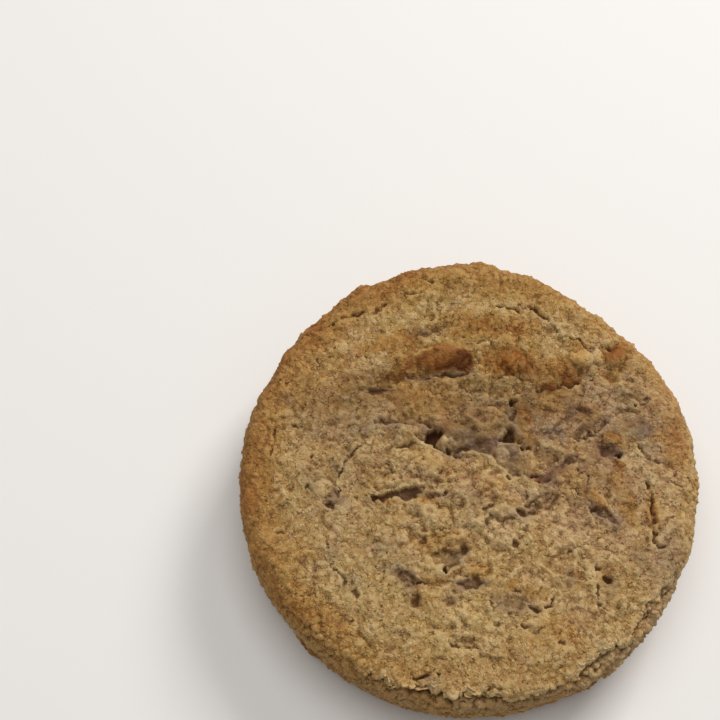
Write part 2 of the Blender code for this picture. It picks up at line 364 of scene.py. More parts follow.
def fold_height(x, y):
    """Drop of the surface in front of the fold, fading towards the front."""
    ahead, strength = fold_ahead(x, y)
    fade = fall(FOLD_FADE_START, FOLD_FADE, ahead)
    return -FOLD_DROP * ramp(FOLD_BACK, FOLD_FRONT, ahead) * fade * strength


# %% Ledges: drop, fade, moist grey, which partly paints shade on the low side, and points with the low side on the left of the way along
LEDGES = [
    (1.5, 4.6, 0.55, [(-7.4, 4.7), (-5.9, 3.9), (-4.6, 3), (-2.4, 2.1), (-0.6, 2.9)]),
    (0.6, 4.2, 0.45, [(-1.6, 2.6), (0, 3.2), (3, 2.6), (4.5, 1), (7, -0.9), (10, -1.6)]),
    (0.4, 2.6, 0.3, [(-8.2, 21.9), (-7, 22.3), (-5.5, 22.4), (-4, 23.1), (-1.6, 24.2)]),
    (0.6, 2, 0.3, [(5, 4.1), (6.2, 4.3), (7.6, 4.6)]),
    (0.9, 3, 0.4, [(-11.6, 7.6), (-9, 7.9), (-6.6, 7.2)]),
    (0.8, 2.5, 0.25, [(12.4, -3.7), (9.6, -5.4), (7, -7.2), (5, -7.7), (2.6, -6.6), (1.9, -8.8)]),
    (0.4, 3, 0.1, [(27.6, -12), (28, -9.3), (28.2, -6.5), (27.9, -4.4), (28, -2)]),
    (0.7, 2.6, 0.2, [(-20.4, -3.5), (-20.2, -1.2), (-19.4, 0.6), (-17.8, 2.8)]),
    (0.8, 2.2, 0.3, [(18.3, 5.4), (20.3, 6.4), (22.2, 7.6)]),
    (0.3, 2.4, 0.05, [(22.8, 20.6), (21, 20.5), (19.4, 20.7), (18.3, 21.9), (16.9, 22.1),
        (15.3, 23.1), (13.9, 24.7), (12.6, 26.3)]),
    (0.4, 2, 0.1, [(-3.2, -27), (-1.7, -27.6), (0.2, -28)]),
    (0.8, 2.4, 0.2, [(-7, -18.6), (-4.6, -18.4), (-3.2, -17.4), (-1.6, -17.2)]),
]
LEDGE_STEP, LEDGE_END = 0.6, 1.6


def beside_line(x, y, points):
    """Distance to the left of a line, and how far past its ends each point lies."""
    nearest = np.full_like(x, 1e6)
    left, past = np.zeros_like(x), np.zeros_like(x)
    last = len(points) - 2
    for number, ((x0, y0), (x1, y1)) in enumerate(zip(points, points[1:])):
        dx, dy = x1 - x0, y1 - y0
        long = math.hypot(dx, dy)
        along = ((x - x0) * dx + (y - y0) * dy) / long
        aside = ((y - y0) * dx - (x - x0) * dy) / long
        over = np.maximum(-along, along - long)
        away = np.hypot(aside, np.maximum(over, 0.0))
        closer = away < nearest
        nearest = np.where(closer, away, nearest)
        left = np.where(closer, np.sign(aside) * away, left)
        ends = np.maximum(-along if number == 0 else 0.0, along - long if number == last else 0.0)
        past = np.where(closer, np.maximum(ends, 0.0), past)
    return left, past


def ledge_drop(x, y):
    """Lower the left side of each ledge, and say how moist the lower side is painted, which partly
    stands for shade.
    """
    drop, moist_and_shade = np.zeros_like(x), np.zeros_like(x)
    for depth, fade, tint, line in LEDGES:
        left, past = beside_line(x, y, line)
        share = ramp(0.0, LEDGE_STEP, left) * fall(LEDGE_STEP, fade, left)
        share = share * fall(0.0, LEDGE_END, past)
        drop += depth * share
        moist_and_shade = np.maximum(moist_and_shade, tint * share)
    return drop, moist_and_shade


# %% Pits: x, y, length, width, turn in degrees if any, depth, mauve, which also paints shade
PITS = [
    (7.5, 11.8, 2.1, 1.5, 25, 2.4, 0.1), (6.9, 10, 1.8, 2.8, 10, 0.9, 0.6),
    (14.4, 6.3, 2.6, 1.1, 20, 0.6, 0.6), (18.6, 10.2, 3, 1.2, -20, 0.5, 0.7),
    (8.7, 3.9, 1.2, 0.7, -15, 1.4, 0.1), (9.6, 3.7, 0.8, 0.5, 20, 1, 0.1),
    (6.2, -0.9, 1, 0.9, 1.3, 0), (-1.9, 2.1, 1.2, 0.9, 20, 1.3, 0.1),
    (-2.9, 3.4, 1.5, 1.1, -20, 2.4, 0), (4.4, 10.9, 2.4, 0.8, 0.6, 0.8),
    (2.6, 4.4, 3.4, 1.6, -10, 0.3, 0.8), (-8.6, -4.2, 2.3, 2, 20, 1.9, 0.3),
    (-5.4, -4.3, 3, 0.8, -6, 0.3, 0.8), (-7.2, -3.1, 0.8, 0.8, 1, 0.4),
    (3.2, -5.8, 1.4, 0.6, 25, 0.6, 0.3), (2.2, -8.6, 0.8, 1, 20, 0.8, 0),
    (8.2, -6.8, 2.6, 1.3, -20, 1.7, 0.3), (9.5, -6.6, 1.6, 1, -10, 1.1, 0.3),
    (16.1, 1.3, 2.6, 1.1, 20, 1.2, 0.3), (11.9, -2, 2.4, 0.8, 20, 0.6, 0.4),
    (-7.6, -18.3, 1.6, 1, 0.9, 0.1), (11.8, -1, 2.8, 1.6, 30, 0.35, 1),
    (-7.2, -11.5, 1.4, 1.8, 10, 0.9, 0.2), (-9.8, -17.1, 4, 1.8, -40, 0.6, 0.7),
    (-8.7, -17.7, 1.2, 1.4, 0.9, 0.1), (-0.2, -18, 4.8, 1.4, 1, 0.8),
    (-0.4, -18.4, 3, 0.5, -6, 1.3, 0.5), (-3.6, -20.7, 2.4, 1.6, 10, 0.5, 0.3),
    (6, -20.8, 5.2, 2.6, -12, 0.35, 0.6), (6.9, -12.1, 0.8, 1.3, 15, 1.2, 0),
    (7.6, -11.2, 2, 0.8, 35, 0.6, 0.1), (20.6, -17.2, 1.5, 1.1, 1.5, 0.1),
    (19.3, -15.7, 1.4, 0.8, -40, 1.1, 0.1), (15.1, -12.8, 0.9, 0.9, 0.9, 0),
    (20.7, -7, 4.6, 1.8, -28, 0.9, 0.8), (18.9, -6.2, 1, 0.8, 1.2, 0.3),
    (22, 3.3, 3.6, 1.8, -10, 0.8, 1), (23.6, 2.8, 1.3, 1.2, 2, 0.3),
    (-21.5, -5.7, 1.7, 1.4, 0.8, 0.5), (-18.3, 2.2, 1.7, 0.9, 35, 1.5, 0),
    (-20.2, -3.2, 0.7, 1.2, 0.9, 0), (-26.1, 6.9, 0.8, 0.6, 0.8, 0),
    (-24.2, 1.9, 0.7, 0.6, 0.8, 0), (-24.8, -3.2, 0.9, 0.8, 20, 0.8, 0),
    (-17.4, -19.5, 1, 1.7, 25, 0.9, 0.1), (-28.8, -10.4, 1.7, 0.6, -20, 0.8, 0),
    # The pits at (-13.5, 13.5) and (-1.8, 16.8) are mostly painted mauve shade under the fold's
    # overhang.
    (-24.4, -24.7, 1, 0.6, 30, 0.7, 0), (-13.5, 13.5, 4, 1.2, 8, 0.6, 0.8),
    (-1.8, 16.8, 5, 0.9, -2, 0.9, 0.9), (17.1, 15.1, 2.7, 0.9, 0.9, 0.1),
    (29, 12.2, 1.4, 0.8, 20, 0.9, 0), (-21.4, 24.4, 1.4, 0.6, -12, 0.9, 0),
    (28.3, -4.6, 0.9, 2.2, 1.5, 0), (-5.4, 23.3, 6, 1.8, 20, 0.15, 0.2),
    (0, 22.2, 0.9, 0.5, 0.6, 0), (3.9, -24.2, 0.9, 0.7, 0.7, 0), (-15.8, 18.7, 0.8, 0.6, 0.6, 0),
    (-28.4, 14, 0.9, 0.6, 20, 0.6, 0), (-1, -12.8, 2.2, 1.5, 35, 1.5, 0.1),
    (-3, -15.2, 2.2, 1.6, 1.4, 0.2), (-4, -15.8, 0.7, 1.4, 8, 2.2, 0),
    (-2.8, -15.6, 0.7, 1, -20, 1.4, 0),
]

# %% Pits with a torn outline: depth, mauve, width of the wall, and the outline's points
TORN_PITS = [
    (1, 0.3, 1, [(-9.6, -19.6), (-8.4, -19.2), (-7.3, -20), (-7.6, -21.2), (-8, -22.1),
        (-9.2, -21.8), (-9.2, -20.9)]),
    (2.7, 0.2, 0.4, [(-7.6, 5.1), (-6.5, 6.5), (-5, 7.2), (-3.6, 6.8), (-3.3, 6), (-4.3, 5.2),
        (-4.8, 4.3), (-4.2, 3.6), (-2.4, 3.4), (-2.4, 2.4), (-3.9, 2.4), (-4.8, 3.2), (-6.1, 4),
        (-6.8, 4.6)]),
    (2, 0.35, 0.45, [(4.8, 4.9), (5.6, 5.7), (6.1, 6.6), (6.5, 8.1), (7.2, 7.2), (7.4, 6.2),
        (7.8, 5.2), (6.6, 4.7)]),
    (1.4, 0.85, 0.6, [(-15.9, -4.5), (-15.3, -3.9), (-13.4, -4), (-11.6, -3.4), (-9.6, -2.9),
        (-8.4, -2.5), (-7.4, -2.9), (-7.5, -4.6), (-8.8, -5.4), (-10.2, -5.2), (-11.5, -4.7),
        (-13.2, -5.4), (-14.8, -5.4)]),
    (0.95, 0.3, 1.1, [(-6.6, -13.6), (-5, -12.2), (-2.6, -12.2), (-0.9, -11.6), (0.5, -12.5),
        (-0.3, -13.8), (-1.2, -14.4), (-1.4, -15.6), (-2.4, -16.5), (-3.2, -16.1), (-4.3, -16.8),
        (-4.8, -15.4), (-6.2, -14.9)]),
]

# %% Cracks: width, depth, mauve, which also paints shade, and the points that each one follows
CRACKS = [
    (0.8, 1.5, 0, [(-8.8, -32.4), (-7.2, -31.9), (-5.2, -31.8)]),
    (0.5, 0.8, 0, [(1.9, -33.9), (2.8, -33.6), (3.8, -33.8)]),
    (0.5, 0.7, 0, [(7.5, -24.3), (8.6, -24.7), (9.8, -24.8)]),
    (0.5, 0.7, 0, [(3.5, -24.2), (4.8, -24.3)]),
    # This crack along the fold's foot is mostly a painted mauve shadow under the fold.
    (0.8, 0.4, 0.9, [(-9.4, 16.2), (-7.6, 16.3), (-5.4, 16.6), (-3, 16.8), (0.4, 16.9)]),
    (0.6, 0.5, 0.4, [(11.4, 13.9), (13.6, 14.1), (15.4, 15), (18, 15.7)]),
    (0.42, 0.3, 0.2, [(4.4, 15.4), (6.4, 16.2), (9.4, 15.7), (11.4, 14.6)]),
    (0.5, 1, 0.1, [(-16.7, 3.5), (-17.8, 3), (-18.5, 2), (-19.4, 1.3), (-19.3, 0.2), (-20.4, -1.2),
        (-20.2, -3), (-20.6, -4.2)]),
    (0.65, 1.2, 0, [(27.9, -1.9), (27.7, -2.6), (28.3, -3.8), (27.9, -4.5), (28.3, -5.3),
        (28.4, -6.5), (28.4, -7.3), (27.9, -9.3), (28.6, -10), (28, -11.3), (28.8, -12.2),
        (29.5, -12)]),
    (0.45, 0.9, 0, [(5.5, 27.9), (6.8, 28.1), (7.8, 27.7), (9.3, 26.8), (10.2, 27.8), (11.5, 27.5),
        (12.8, 26), (14, 24.6), (15.5, 23), (17, 22.1), (18.3, 22), (19.5, 20.6), (21.5, 20.5),
        (23, 21)]),
    (0.58, 0.8, 0, [(-25.9, 23), (-24.7, 23.5), (-21.4, 24.4), (-19, 25.9), (-17.8, 25.9),
        (-16.8, 26.6), (-15, 26.2), (-12.5, 27.8)]),
    (0.5, 0.3, 0.3, [(-8, 22.2), (-5.5, 22.4), (-4, 23), (-2, 24.1)]),
    (0.79, 0.1, 0.6, [(-2.4, 2.6), (0.2, 3.9), (3.2, 3.2)]),
    (0.8, 1.5, 0.1, [(8, 11), (7.7, 9.9), (7.2, 8.8)]),
    (0.45, 1.5, 0.1, [(-10.2, -3.5), (-9, -3.1), (-8, -3.2)]),
    (0.8, 0.3, 0.7, [(9.8, -1.2), (11.4, -1.2), (12.8, -0.1), (14.8, 1.2), (16.6, 2.1)]),
    (0.5, 0.9, 0.2, [(9.9, -1.2), (10.8, -1.3)]),
    (0.4, 0.7, 0.1, [(14.6, 1.1), (16.2, 1.9), (17.4, 2.2)]),
    (0.58, 0.7, 0.2, [(18.5, 5.6), (20.3, 6.6), (22, 7.7)]),
    (0.58, 0.8, 0, [(26.6, 4.3), (27.5, 3.2), (28.2, 2.2), (29.4, 1.6)]),
    (0.65, 0.7, 0.3, [(8.8, -6), (9.8, -5.1), (12, -3.9)]),
    (0.5, 0.8, 0, [(19.2, -18.3), (18.9, -19.3), (19, -20.8), (19.6, -21.3), (20.5, -22)]),
    (0.8, 0.8, 0.4, [(-14.8, 7.8), (-13.5, 8), (-12, 7.9), (-9, 7.9), (-6.2, 7.2)]),
    (0.5, 0.6, 0, [(-22.2, -9.8), (-21.7, -12.5), (-21, -15.7), (-19.3, -17), (-19.1, -18.3)]),
    (0.5, 0.6, 0, [(-3.5, -26.9), (-1.7, -27.5), (0, -27.9)]),
    (0.58, 0.7, 0.1, [(-6.5, -18.5), (-4.4, -18.3), (-3.8, -17.6), (-3, -17.6)]),
    (0.5, 0.7, 0.1, [(-10.8, 3.9), (-9.4, 3.7), (-8.5, 4.3)]),
    (0.43, 0.7, 0, [(16.7, 0.1), (18.7, -0.9), (18.6, -2.5)]),
    (0.43, 0.7, 0, [(15.7, -3), (16.7, -3.2), (17, -4)]),
    (0.43, 0.7, 0, [(10.3, -1.9), (11.5, -2.4)]), (0.43, 0.6, 0.2, [(-4.7, -4.8), (-3.6, -3.6)]),
    (0.43, 0.6, 0, [(2, -6.4), (2.8, -6)]),
    (0.43, 0.7, 0, [(27, 10.9), (28.5, 11.4), (29.6, 12.3)]),
    (0.43, 0.6, 0, [(-27.7, 7), (-26.1, 6.8)]),
    (0.43, 0.6, 0, [(-26.2, 10.5), (-25.9, 9.8), (-27, 9.2)]),
    (0.43, 0.6, 0, [(-30.7, 2.2), (-30.2, 4.5), (-29.6, 7)]),
    (0.43, 0.6, 0, [(-26.6, -19.6), (-25.4, -20.1)]),
    (0.43, 0.6, 0, [(-18.6, -24.7), (-17.9, -23.6)]),
    (0.43, 0.7, 0.1, [(2.9, -20.4), (3.3, -21.5), (3, -22.2)]),
    (0.4, 0.4, 0, [(6.2, -19), (7, -19.3)]),
    (0.6, 1.3, 0.1, [(11.1, -21.5), (11.8, -21), (12.4, -20.1)]),
    (0.5, 1, 0.3, [(8.3, -21.5), (9.2, -22), (10, -21.9)]),
    (0.43, 0.6, 0, [(14.8, -13), (15, -14.2)]), (0.43, 0.6, 0, [(12.7, -27), (13.5, -27.1)]),
    (0.43, 0.6, 0, [(1.8, 21.3), (3, 21.8)]), (0.43, 0.6, 0, [(-6, 32.4), (-4.8, 31.9)]),
    (0.43, 0.6, 0, [(-9.5, 30.1), (-6.7, 30)]),
    (0.43, 0.6, 0, [(-23.6, 16.5), (-23.2, 17.3), (-23.4, 18.2)]),
]

# %% Lumps: x, y, length, width, turn in degrees if any, height
LUMPS = [
    (-9.4, 5.8, 4.6, 3.8, 20, 0.8), (-3.8, 4.7, 1.6, 1.6, 0.9), (-2.3, 4.8, 1.3, 1.1, 0.5),
    (2.5, 8.6, 7, 4.4, 0.7), (-5.5, 0.6, 11, 4.6, -12, 0.7), (5, -2.6, 9, 4.6, -20, 0.5),
    (6.9, 3.6, 1.6, 2, 0.6), (5.4, 2.4, 2, 2.4, 0.4), (-22.3, -3.2, 4.4, 2.6, 8, 0.5),
    (22.6, 5.4, 3, 2, 10, 1), (18.8, 19, 3.8, 2.6, 10, 1), (21.4, 19.3, 2.2, 2, 0.8),
    (24.6, 19.7, 4.2, 2.8, 25, 0.7), (-4.2, 19.2, 8.5, 2.9, 6, 0.8), (7.6, 18.2, 5, 2.8, 0.6),
    (0.5, -16.2, 4, 1.6, 8, 0.6), (-3, -11, 5, 1.8, 0.5), (19.7, -4.8, 3.2, 2.4, -30, 0.7),
    (23.2, -3, 3, 4.4, 0.4), (-5, -22.6, 9, 3.6, -10, 0.4), (9.6, -24, 4.4, 2, 8, 0.5),
    (3, -27.6, 5, 3.4, 0.4), (27, 6.6, 3.4, 2.8, 0.4), (-12.8, -1.9, 4.4, 2.2, 12, 0.4),
    (12.6, 8.4, 5, 4, 20, 0.4),
]
print("top", len(LEDGES), "ledges", len(PITS), "pits", len(TORN_PITS), "torn pits",
      len(CRACKS), "cracks", len(LUMPS), "lumps")


# %% Cut the pits and cracks
PIT_FLOOR, PIT_EDGE, PIT_SHARE, PIT_SWAY, PIT_SWAY_SPACING = 0.45, 1.1, 0.8, 0.6, 1.2
RAGGED_SWAYS = [(0.3, 0.5)]
CRACK_FLOOR, CRACK_EDGE, CRACK_SHARE, CRACK_BREAKS, BREAK_SPACING = 0.1, 0.62, 0.8, 1.3, 1.5
CRACK_LEAST, CRACK_MOST = 0.15, 1.3
MAUVE_AND_SHADE_REACH = 1.4


def inside_outline(x, y, points):
    """Distance in from the edge of a closed outline, or 0 outside it."""
    inside = np.zeros(x.shape, dtype=bool)
    for (x0, y0), (x1, y1) in zip(points, points[1:] + points[:1]):
        between = (y0 > y) != (y1 > y)
        rise = (y1 - y0) or 1e-9
        inside ^= between & (x < x0 + (y - y0) * (x1 - x0) / rise)
    return np.where(inside, line_distance(x, y, points + points[:1]), 0.0)


def cut_marks(x, y):
    """Depth of every pit and crack at each point, and how mauve it is painted there, which partly
    stands for shade.
    """
    cut, mauve_and_shade = np.zeros_like(x), np.zeros_like(x)
    spots = flat(x, y)
    x, y = swayed(x, y, spots, RAGGED_SWAYS)
    pitted = PIT_SHARE * (1.0 + PIT_SWAY * wave(spots, PIT_SWAY_SPACING))
    broken = CRACK_SHARE + CRACK_BREAKS * wave(spots, BREAK_SPACING)
    broken = np.clip(broken, CRACK_LEAST, CRACK_MOST)
    for *oval, depth, tint in PITS:
        away = oval_distance(x, y, oval)
        cut = np.maximum(cut, depth * pitted * fall(PIT_FLOOR, PIT_EDGE, away))
        mauve_and_shade = np.maximum(mauve_and_shade, tint * fall(PIT_EDGE, MAUVE_AND_SHADE_REACH, away))
    for depth, tint, wall, outline in TORN_PITS:
        inward = ramp(0.0, wall, inside_outline(x, y, outline))
        cut = np.maximum(cut, depth * inward)
        mauve_and_shade = np.maximum(mauve_and_shade, tint * inward)
    for width, depth, tint, line in CRACKS:
        away = line_distance(x, y, line) / width
        cut = np.maximum(cut, depth * broken * fall(CRACK_FLOOR, CRACK_EDGE, away))
        mauve_and_shade = np.maximum(mauve_and_shade, tint * fall(CRACK_EDGE, MAUVE_AND_SHADE_REACH, away))
    return cut, mauve_and_shade


# %% Crumb: rounded clumps that meet in creases, at three sizes
CLUMPS = [(3.4, 0.52), (1.6, 0.36), (0.8, 0.32)]
CLUMP_WARP, CLUMP_WARP_SPACING = 0.3, 0.6
USUAL_CLUMP, CLUMP_ROUNDING = 0.22, 0.06
CREASE_WIDTH, CREASE_DEPTH, CREASE_SPACING, CREASE_START = 0.09, 0.3, 1.7, 0.35
CHUNK_SIZES = [(4.4, 1.0), (2.3, 0.5)]
CHUNK_EDGE, CHUNK_WARP, CHUNK_WARP_SPACING = 0.3, 0.28, 0.5


def crumb_relief(points):
    """Height of the crumb at each point, about zero on average, and where it is creased."""
    height = np.zeros(len(points))
    for spacing, rise in CLUMPS:
        bent = warped(points, CLUMP_WARP * spacing, CLUMP_WARP_SPACING * spacing)
        clump = np.hypot(wave(bent, spacing), CLUMP_ROUNDING)
        height += rise * (clump - USUAL_CLUMP)
        if spacing == CLUMPS[0][0]:
            here = wave(points + SECOND_SHIFT, CREASE_SPACING * spacing)
            crease = ramp(0.0, CREASE_START, here) * fall(0.0, CREASE_WIDTH, clump)
    return height - CREASE_DEPTH * crease, crease


def chunks(points):
    """Broken pieces of crust that stand a little higher or lower than one another."""
    height = np.zeros(len(points))
    for spacing, step in CHUNK_SIZES:
        bent = warped(points, CHUNK_WARP * spacing, CHUNK_WARP_SPACING * spacing)
        near, second, lot = cells(bent, spacing)
        height += step * (lot - 0.5) * ramp(0.0, CHUNK_EDGE, second - near)
    return height


# %% Smooth, moist places: x, y, length, width, turn in degrees if any, share
SMOOTH = [
    (-3.7, 4.6, 3, 2.6, 0.7), (8, 1.2, 6, 2.4, -25, 0.6), (13.6, -0.2, 6, 1.6, 28, 0.6),
    (-12, -4.4, 7, 1.6, 12, 0.5), (6, -21, 5.4, 2.4, -10, 0.4), (-13, 13.4, 5, 1.6, 8, 0.5),
    (21, 3.2, 4, 2, 0.5), (-0.4, -18.2, 5, 1.4, 0.7), (-1.8, 16.6, 6.4, 1.4, 0.7),
    (-3, 6.3, 8, 3.6, -24, 0.8), (1.6, 4.8, 6, 2.4, -10, 0.8), (24, 7, 4.6, 3.4, 0.7),
    (27, 7, 3.6, 4, 0.6), (-3.8, 19, 9.6, 3.6, 8, 0.75), (24.2, 19.8, 4, 2.6, 25, 0.6),
    (5, 2.6, 5, 3, -35, 0.5), (-4, -13.4, 4, 2.4, 10, 0.3), (-1, 21.8, 10, 1.6, 8, 0.4),
]

# %% From where a mark was measured to where it lies
DRAWN_SWAYS = [(0.4, 2.6), (0.4, 0.85)]
DRAWN_SCALE, DRAWN_SHIFT_X, DRAWN_SHIFT_Y = 0.973, -0.33, -0.18
DRAWN_SINK_X, DRAWN_SINK_Y = 0.128, 0.398


def drawn_place(points):
    """Marks were measured in the plane of the rim, from the front. The top lies a little
    nearer than its widest ring and the bowl lies lower, so the marks move to suit."""
    x, y = swayed(*points.T[:2], points, DRAWN_SWAYS)
    bowl = bowl_share(x, y)
    return ((x - DRAWN_SHIFT_X - DRAWN_SINK_X * bowl) / DRAWN_SCALE,
            (y - DRAWN_SHIFT_Y - DRAWN_SINK_Y * bowl) / DRAWN_SCALE)


# %% The relief of the top
LUMP_WAVES, LUMP_STRETCH = [(3.4, 0.65), (6.5, 0.8)], np.array([0.7, 1.0, 1.0])
RIM_LUMPINESS, RIM_CHUNKS = 0.42, 0.5
ROUGHNESS_SWAY, ROUGHNESS_SPACING = 0.45, 8.0


def top_relief(points):
    """Height change over the top, and the marks that its colours follow."""
    x, y = drawn_place(points)
    bowl = bowl_share(x, y)
    drop, damp = ledge_drop(x, y)
    height = fold_height(x, y) - BOWL_DEPTH * bowl - drop
    lumpiness = RIM_LUMPINESS + (1.0 - RIM_LUMPINESS) * bowl
    for spacing, rise in LUMP_WAVES:
        height += rise * wave(points * LUMP_STRETCH, spacing) * lumpiness
    for *oval, rise in LUMPS:
        height += rise * np.sqrt(np.clip(1.0 - oval_distance(x, y, oval) ** 2, 0.0, 1.0))
    crumb, crease = crumb_relief(points)
    crumb *= 1.0 + ROUGHNESS_SWAY * wave(points, ROUGHNESS_SPACING)
    crumb += (RIM_CHUNKS + (1.0 - RIM_CHUNKS) * bowl) * chunks(points)
    crumb *= 1.0 - painted(x, y, SMOOTH)
    cut, mauve_and_shade = cut_marks(x, y)
    return height + crumb - cut, {"crease": crease, "cut": cut, "damp": damp, "mauve_and_shade": mauve_and_shade}


# %% [markdown]
# ## The side: wrinkles, slanting pores and a torn lip
#
# The ring held the side upright while gas pushed through it, so it is full of pores that are
# wider than they are high. Round holes are rarer. Along the front the upper crust broke
# away from the side and stands over it as a rough lip, with loose crumb in the break. All of
# it is noise with named spacings, because no single pore of the side has to be matched.

# %% Side relief
SIDE_TOP, TOP_START = 0.68 * THICKNESS, 0.9 * THICKNESS
SIDE_STRETCH, SLIT_STRETCH = np.array([0.55, 0.55, 1.5]), np.array([0.8, 0.8, 1.6])
WRINKLE_SPACING, WRINKLE_HEIGHT = 1.5, 0.45
SWELL_SPACING, SWELL_HEIGHT = 9.0, 0.4
PORE_SPACING, PORE_START, PORE_FULL, PORE_DEPTH = 1.25, 0.42, 0.8, 0.8
SLIT_SPACING, SLIT_DEPTH, SLIT_LOTS, SLIT_WALL = 0.95, 0.55, (0.25, 0.6), (0.1, 0.42)
HOLE_SPACING, HOLE_SHARE, HOLE_RADIUS, HOLE_FLOOR, HOLE_DEPTH = 4.2, 0.5, 0.17, 0.6, 1.3
GRIT_SPACING, GRIT_WARP, GRIT_LEAST, GRIT_HEIGHT = 0.85, (0.2, 0.6), 0.3, 0.22
SIDE_CRUMB = 1.2


def side_relief(points):
    """Height change round the upright side, and how deep in a pore each point is."""
    stretched = points * SIDE_STRETCH
    height = WRINKLE_HEIGHT * wave(stretched, WRINKLE_SPACING)
    height += SWELL_HEIGHT * wave(points, SWELL_SPACING)
    pores = PORE_DEPTH * ramp(PORE_START, PORE_FULL, wave(stretched + SECOND_SHIFT, PORE_SPACING))
    near, _, lot = cells(points * SLIT_STRETCH, SLIT_SPACING)
    slits = SLIT_DEPTH * ramp(*SLIT_LOTS, lot) * fall(*SLIT_WALL, near)
    near, _, lot = cells(points, HOLE_SPACING)
    holes = HOLE_DEPTH * (lot < HOLE_SHARE) * fall(HOLE_FLOOR * HOLE_RADIUS, HOLE_RADIUS, near)
    cut = np.maximum(np.maximum(pores, slits), holes)
    near, _, lot = cells(warped(points, *GRIT_WARP), GRIT_SPACING)
    grit = GRIT_HEIGHT * (GRIT_LEAST + lot) * (dome(near) - 0.5)
    height += grit + SIDE_CRUMB * crumb_relief(points)[0]
    return height - cut, {"cut": cut}


# %% The underside: flat on the tray, with a few shallow pores and wrinkles
BASE_PORE_SPACING, BASE_PORE_SHARE, BASE_PORE_DEPTH, BASE_PORE_WALL = 3.2, 0.45, 0.5, (0.08, 0.22)
BASE_WARP, BASE_WRINKLE_SPACING, BASE_WRINKLE_DEPTH = (0.4, 1.1), 2.4, 0.35
BASE_WRINKLE_STEP = (0.45, 0.9)
BASE_EDGE = (0.93 * FOOT_RADIUS, FOOT_RADIUS - 0.5 * FOOT_ROUNDING)


def base_relief(points):
    """How far the underside is pitted. It never stands out below the tray."""
    near, _, lot = cells(warped(points, *BASE_WARP), BASE_PORE_SPACING)
    pores = BASE_PORE_DEPTH * (lot < BASE_PORE_SHARE) * fall(*BASE_PORE_WALL, near)
    wrinkles = BASE_WRINKLE_DEPTH * ramp(*BASE_WRINKLE_STEP, wave(points, BASE_WRINKLE_SPACING))
    cut = fall(*BASE_EDGE, np.hypot(*points.T[:2])) * np.maximum(pores, wrinkles)
    return -cut, {"cut": cut}


# %% The torn lip at the front: direction in degrees, radius of its edge, and strength
LIP_EDGE = [
    (-150, 34.4, 0), (-136, 34.3, 0.3), (-122, 34.3, 0.3), (-114, 34.4, 1), (-107, 33.8, 1),
    (-104, 33.3, 1), (-101, 34, 0.9), (-98, 34, 0.9), (-90.6, 33.7, 1), (-86, 33.9, 1),
    (-83, 34.4, 0.9), (-76, 34.8, 0.7), (-68, 34.4, 0.5), (-61, 33.6, 0.8), (-56, 33.3, 1),
    (-50, 33.8, 1), (-44, 33.2, 1), (-38, 33, 0.9), (-32, 33.8, 0.4), (-24, 34.4, 0),
]
LIP_RAGGED = [(1.0, 2.4), (0.7, 0.9)]
SHOULDER_MIDDLE = np.array([RIM - SHOULDER, THICKNESS - CROWN_DROP - SHOULDER])
EDGE_RANGE, LIP_HANG = (SHOULDER_MIDDLE[0] + 0.1, RIM - 0.05), 0.4
BROKEN_LEAST, BROKEN_SPACING, BROKEN_STEP = 0.45, 3.0, (-0.2, 0.1)


def off_direction(x, y, middle):
    """Angle in degrees between each point's direction and the middle one."""
    return (np.degrees(np.arctan2(y, x)) - middle + 180.0) % 360.0 - 180.0


def past_lip(points):
    """Distance of each point down from the torn edge, and how torn it is there."""
    x, y, z = points.T
    direction = off_direction(x, y, 0.0)
    turns, radii, strengths = np.transpose(LIP_EDGE)
    edge = np.interp(direction, turns, radii)
    for reach, spacing in LIP_RAGGED:
        edge = edge + reach * wave(points, spacing)
    edge = np.clip(edge, *EDGE_RANGE)
    level = SHOULDER_MIDDLE[1] + np.sqrt(SHOULDER ** 2 - (edge - SHOULDER_MIDDLE[0]) ** 2)
    out, down = np.hypot(x, y) - edge, level - z
    away = np.hypot(out, down) * np.where((out > 0.0) | (down > LIP_HANG), 1.0, -1.0)
    whole = ramp(*BROKEN_STEP, wave(points + SECOND_SHIFT, BROKEN_SPACING))
    broken = BROKEN_LEAST + (1.0 - BROKEN_LEAST) * whole
    return away, broken * np.interp(direction, turns, strengths)


# %% The lip and what lies under it, by the distance down from the torn edge
LIP_RISE, LIP_CREST, GROOVE_DEPTH, GROOVE_SHADE = 0.25, (-0.6, 0.7), 1.35, 1.1
GROOVE_START, GROOVE_FLOOR, GROOVE_END = 0.0, 0.4, 1.9
UNDER_SWELL, UNDER_SWELL_PLACE = 0.3, (3.2, 1.3)
TORN_CRUMB, TORN_CRUMB_WARP, TORN_CRUMB_SPACING, TORN_CRUMB_LEAST = 0.34, (0.2, 0.5), 1.0, 0.4
TORN_CRUMB_START, TORN_CRUMB_END = (0.3, 1.0), (4.0, 6.0)
LIP_MARK, TORN_MARK = (-0.25, 0.45), (0.1, 0.7)


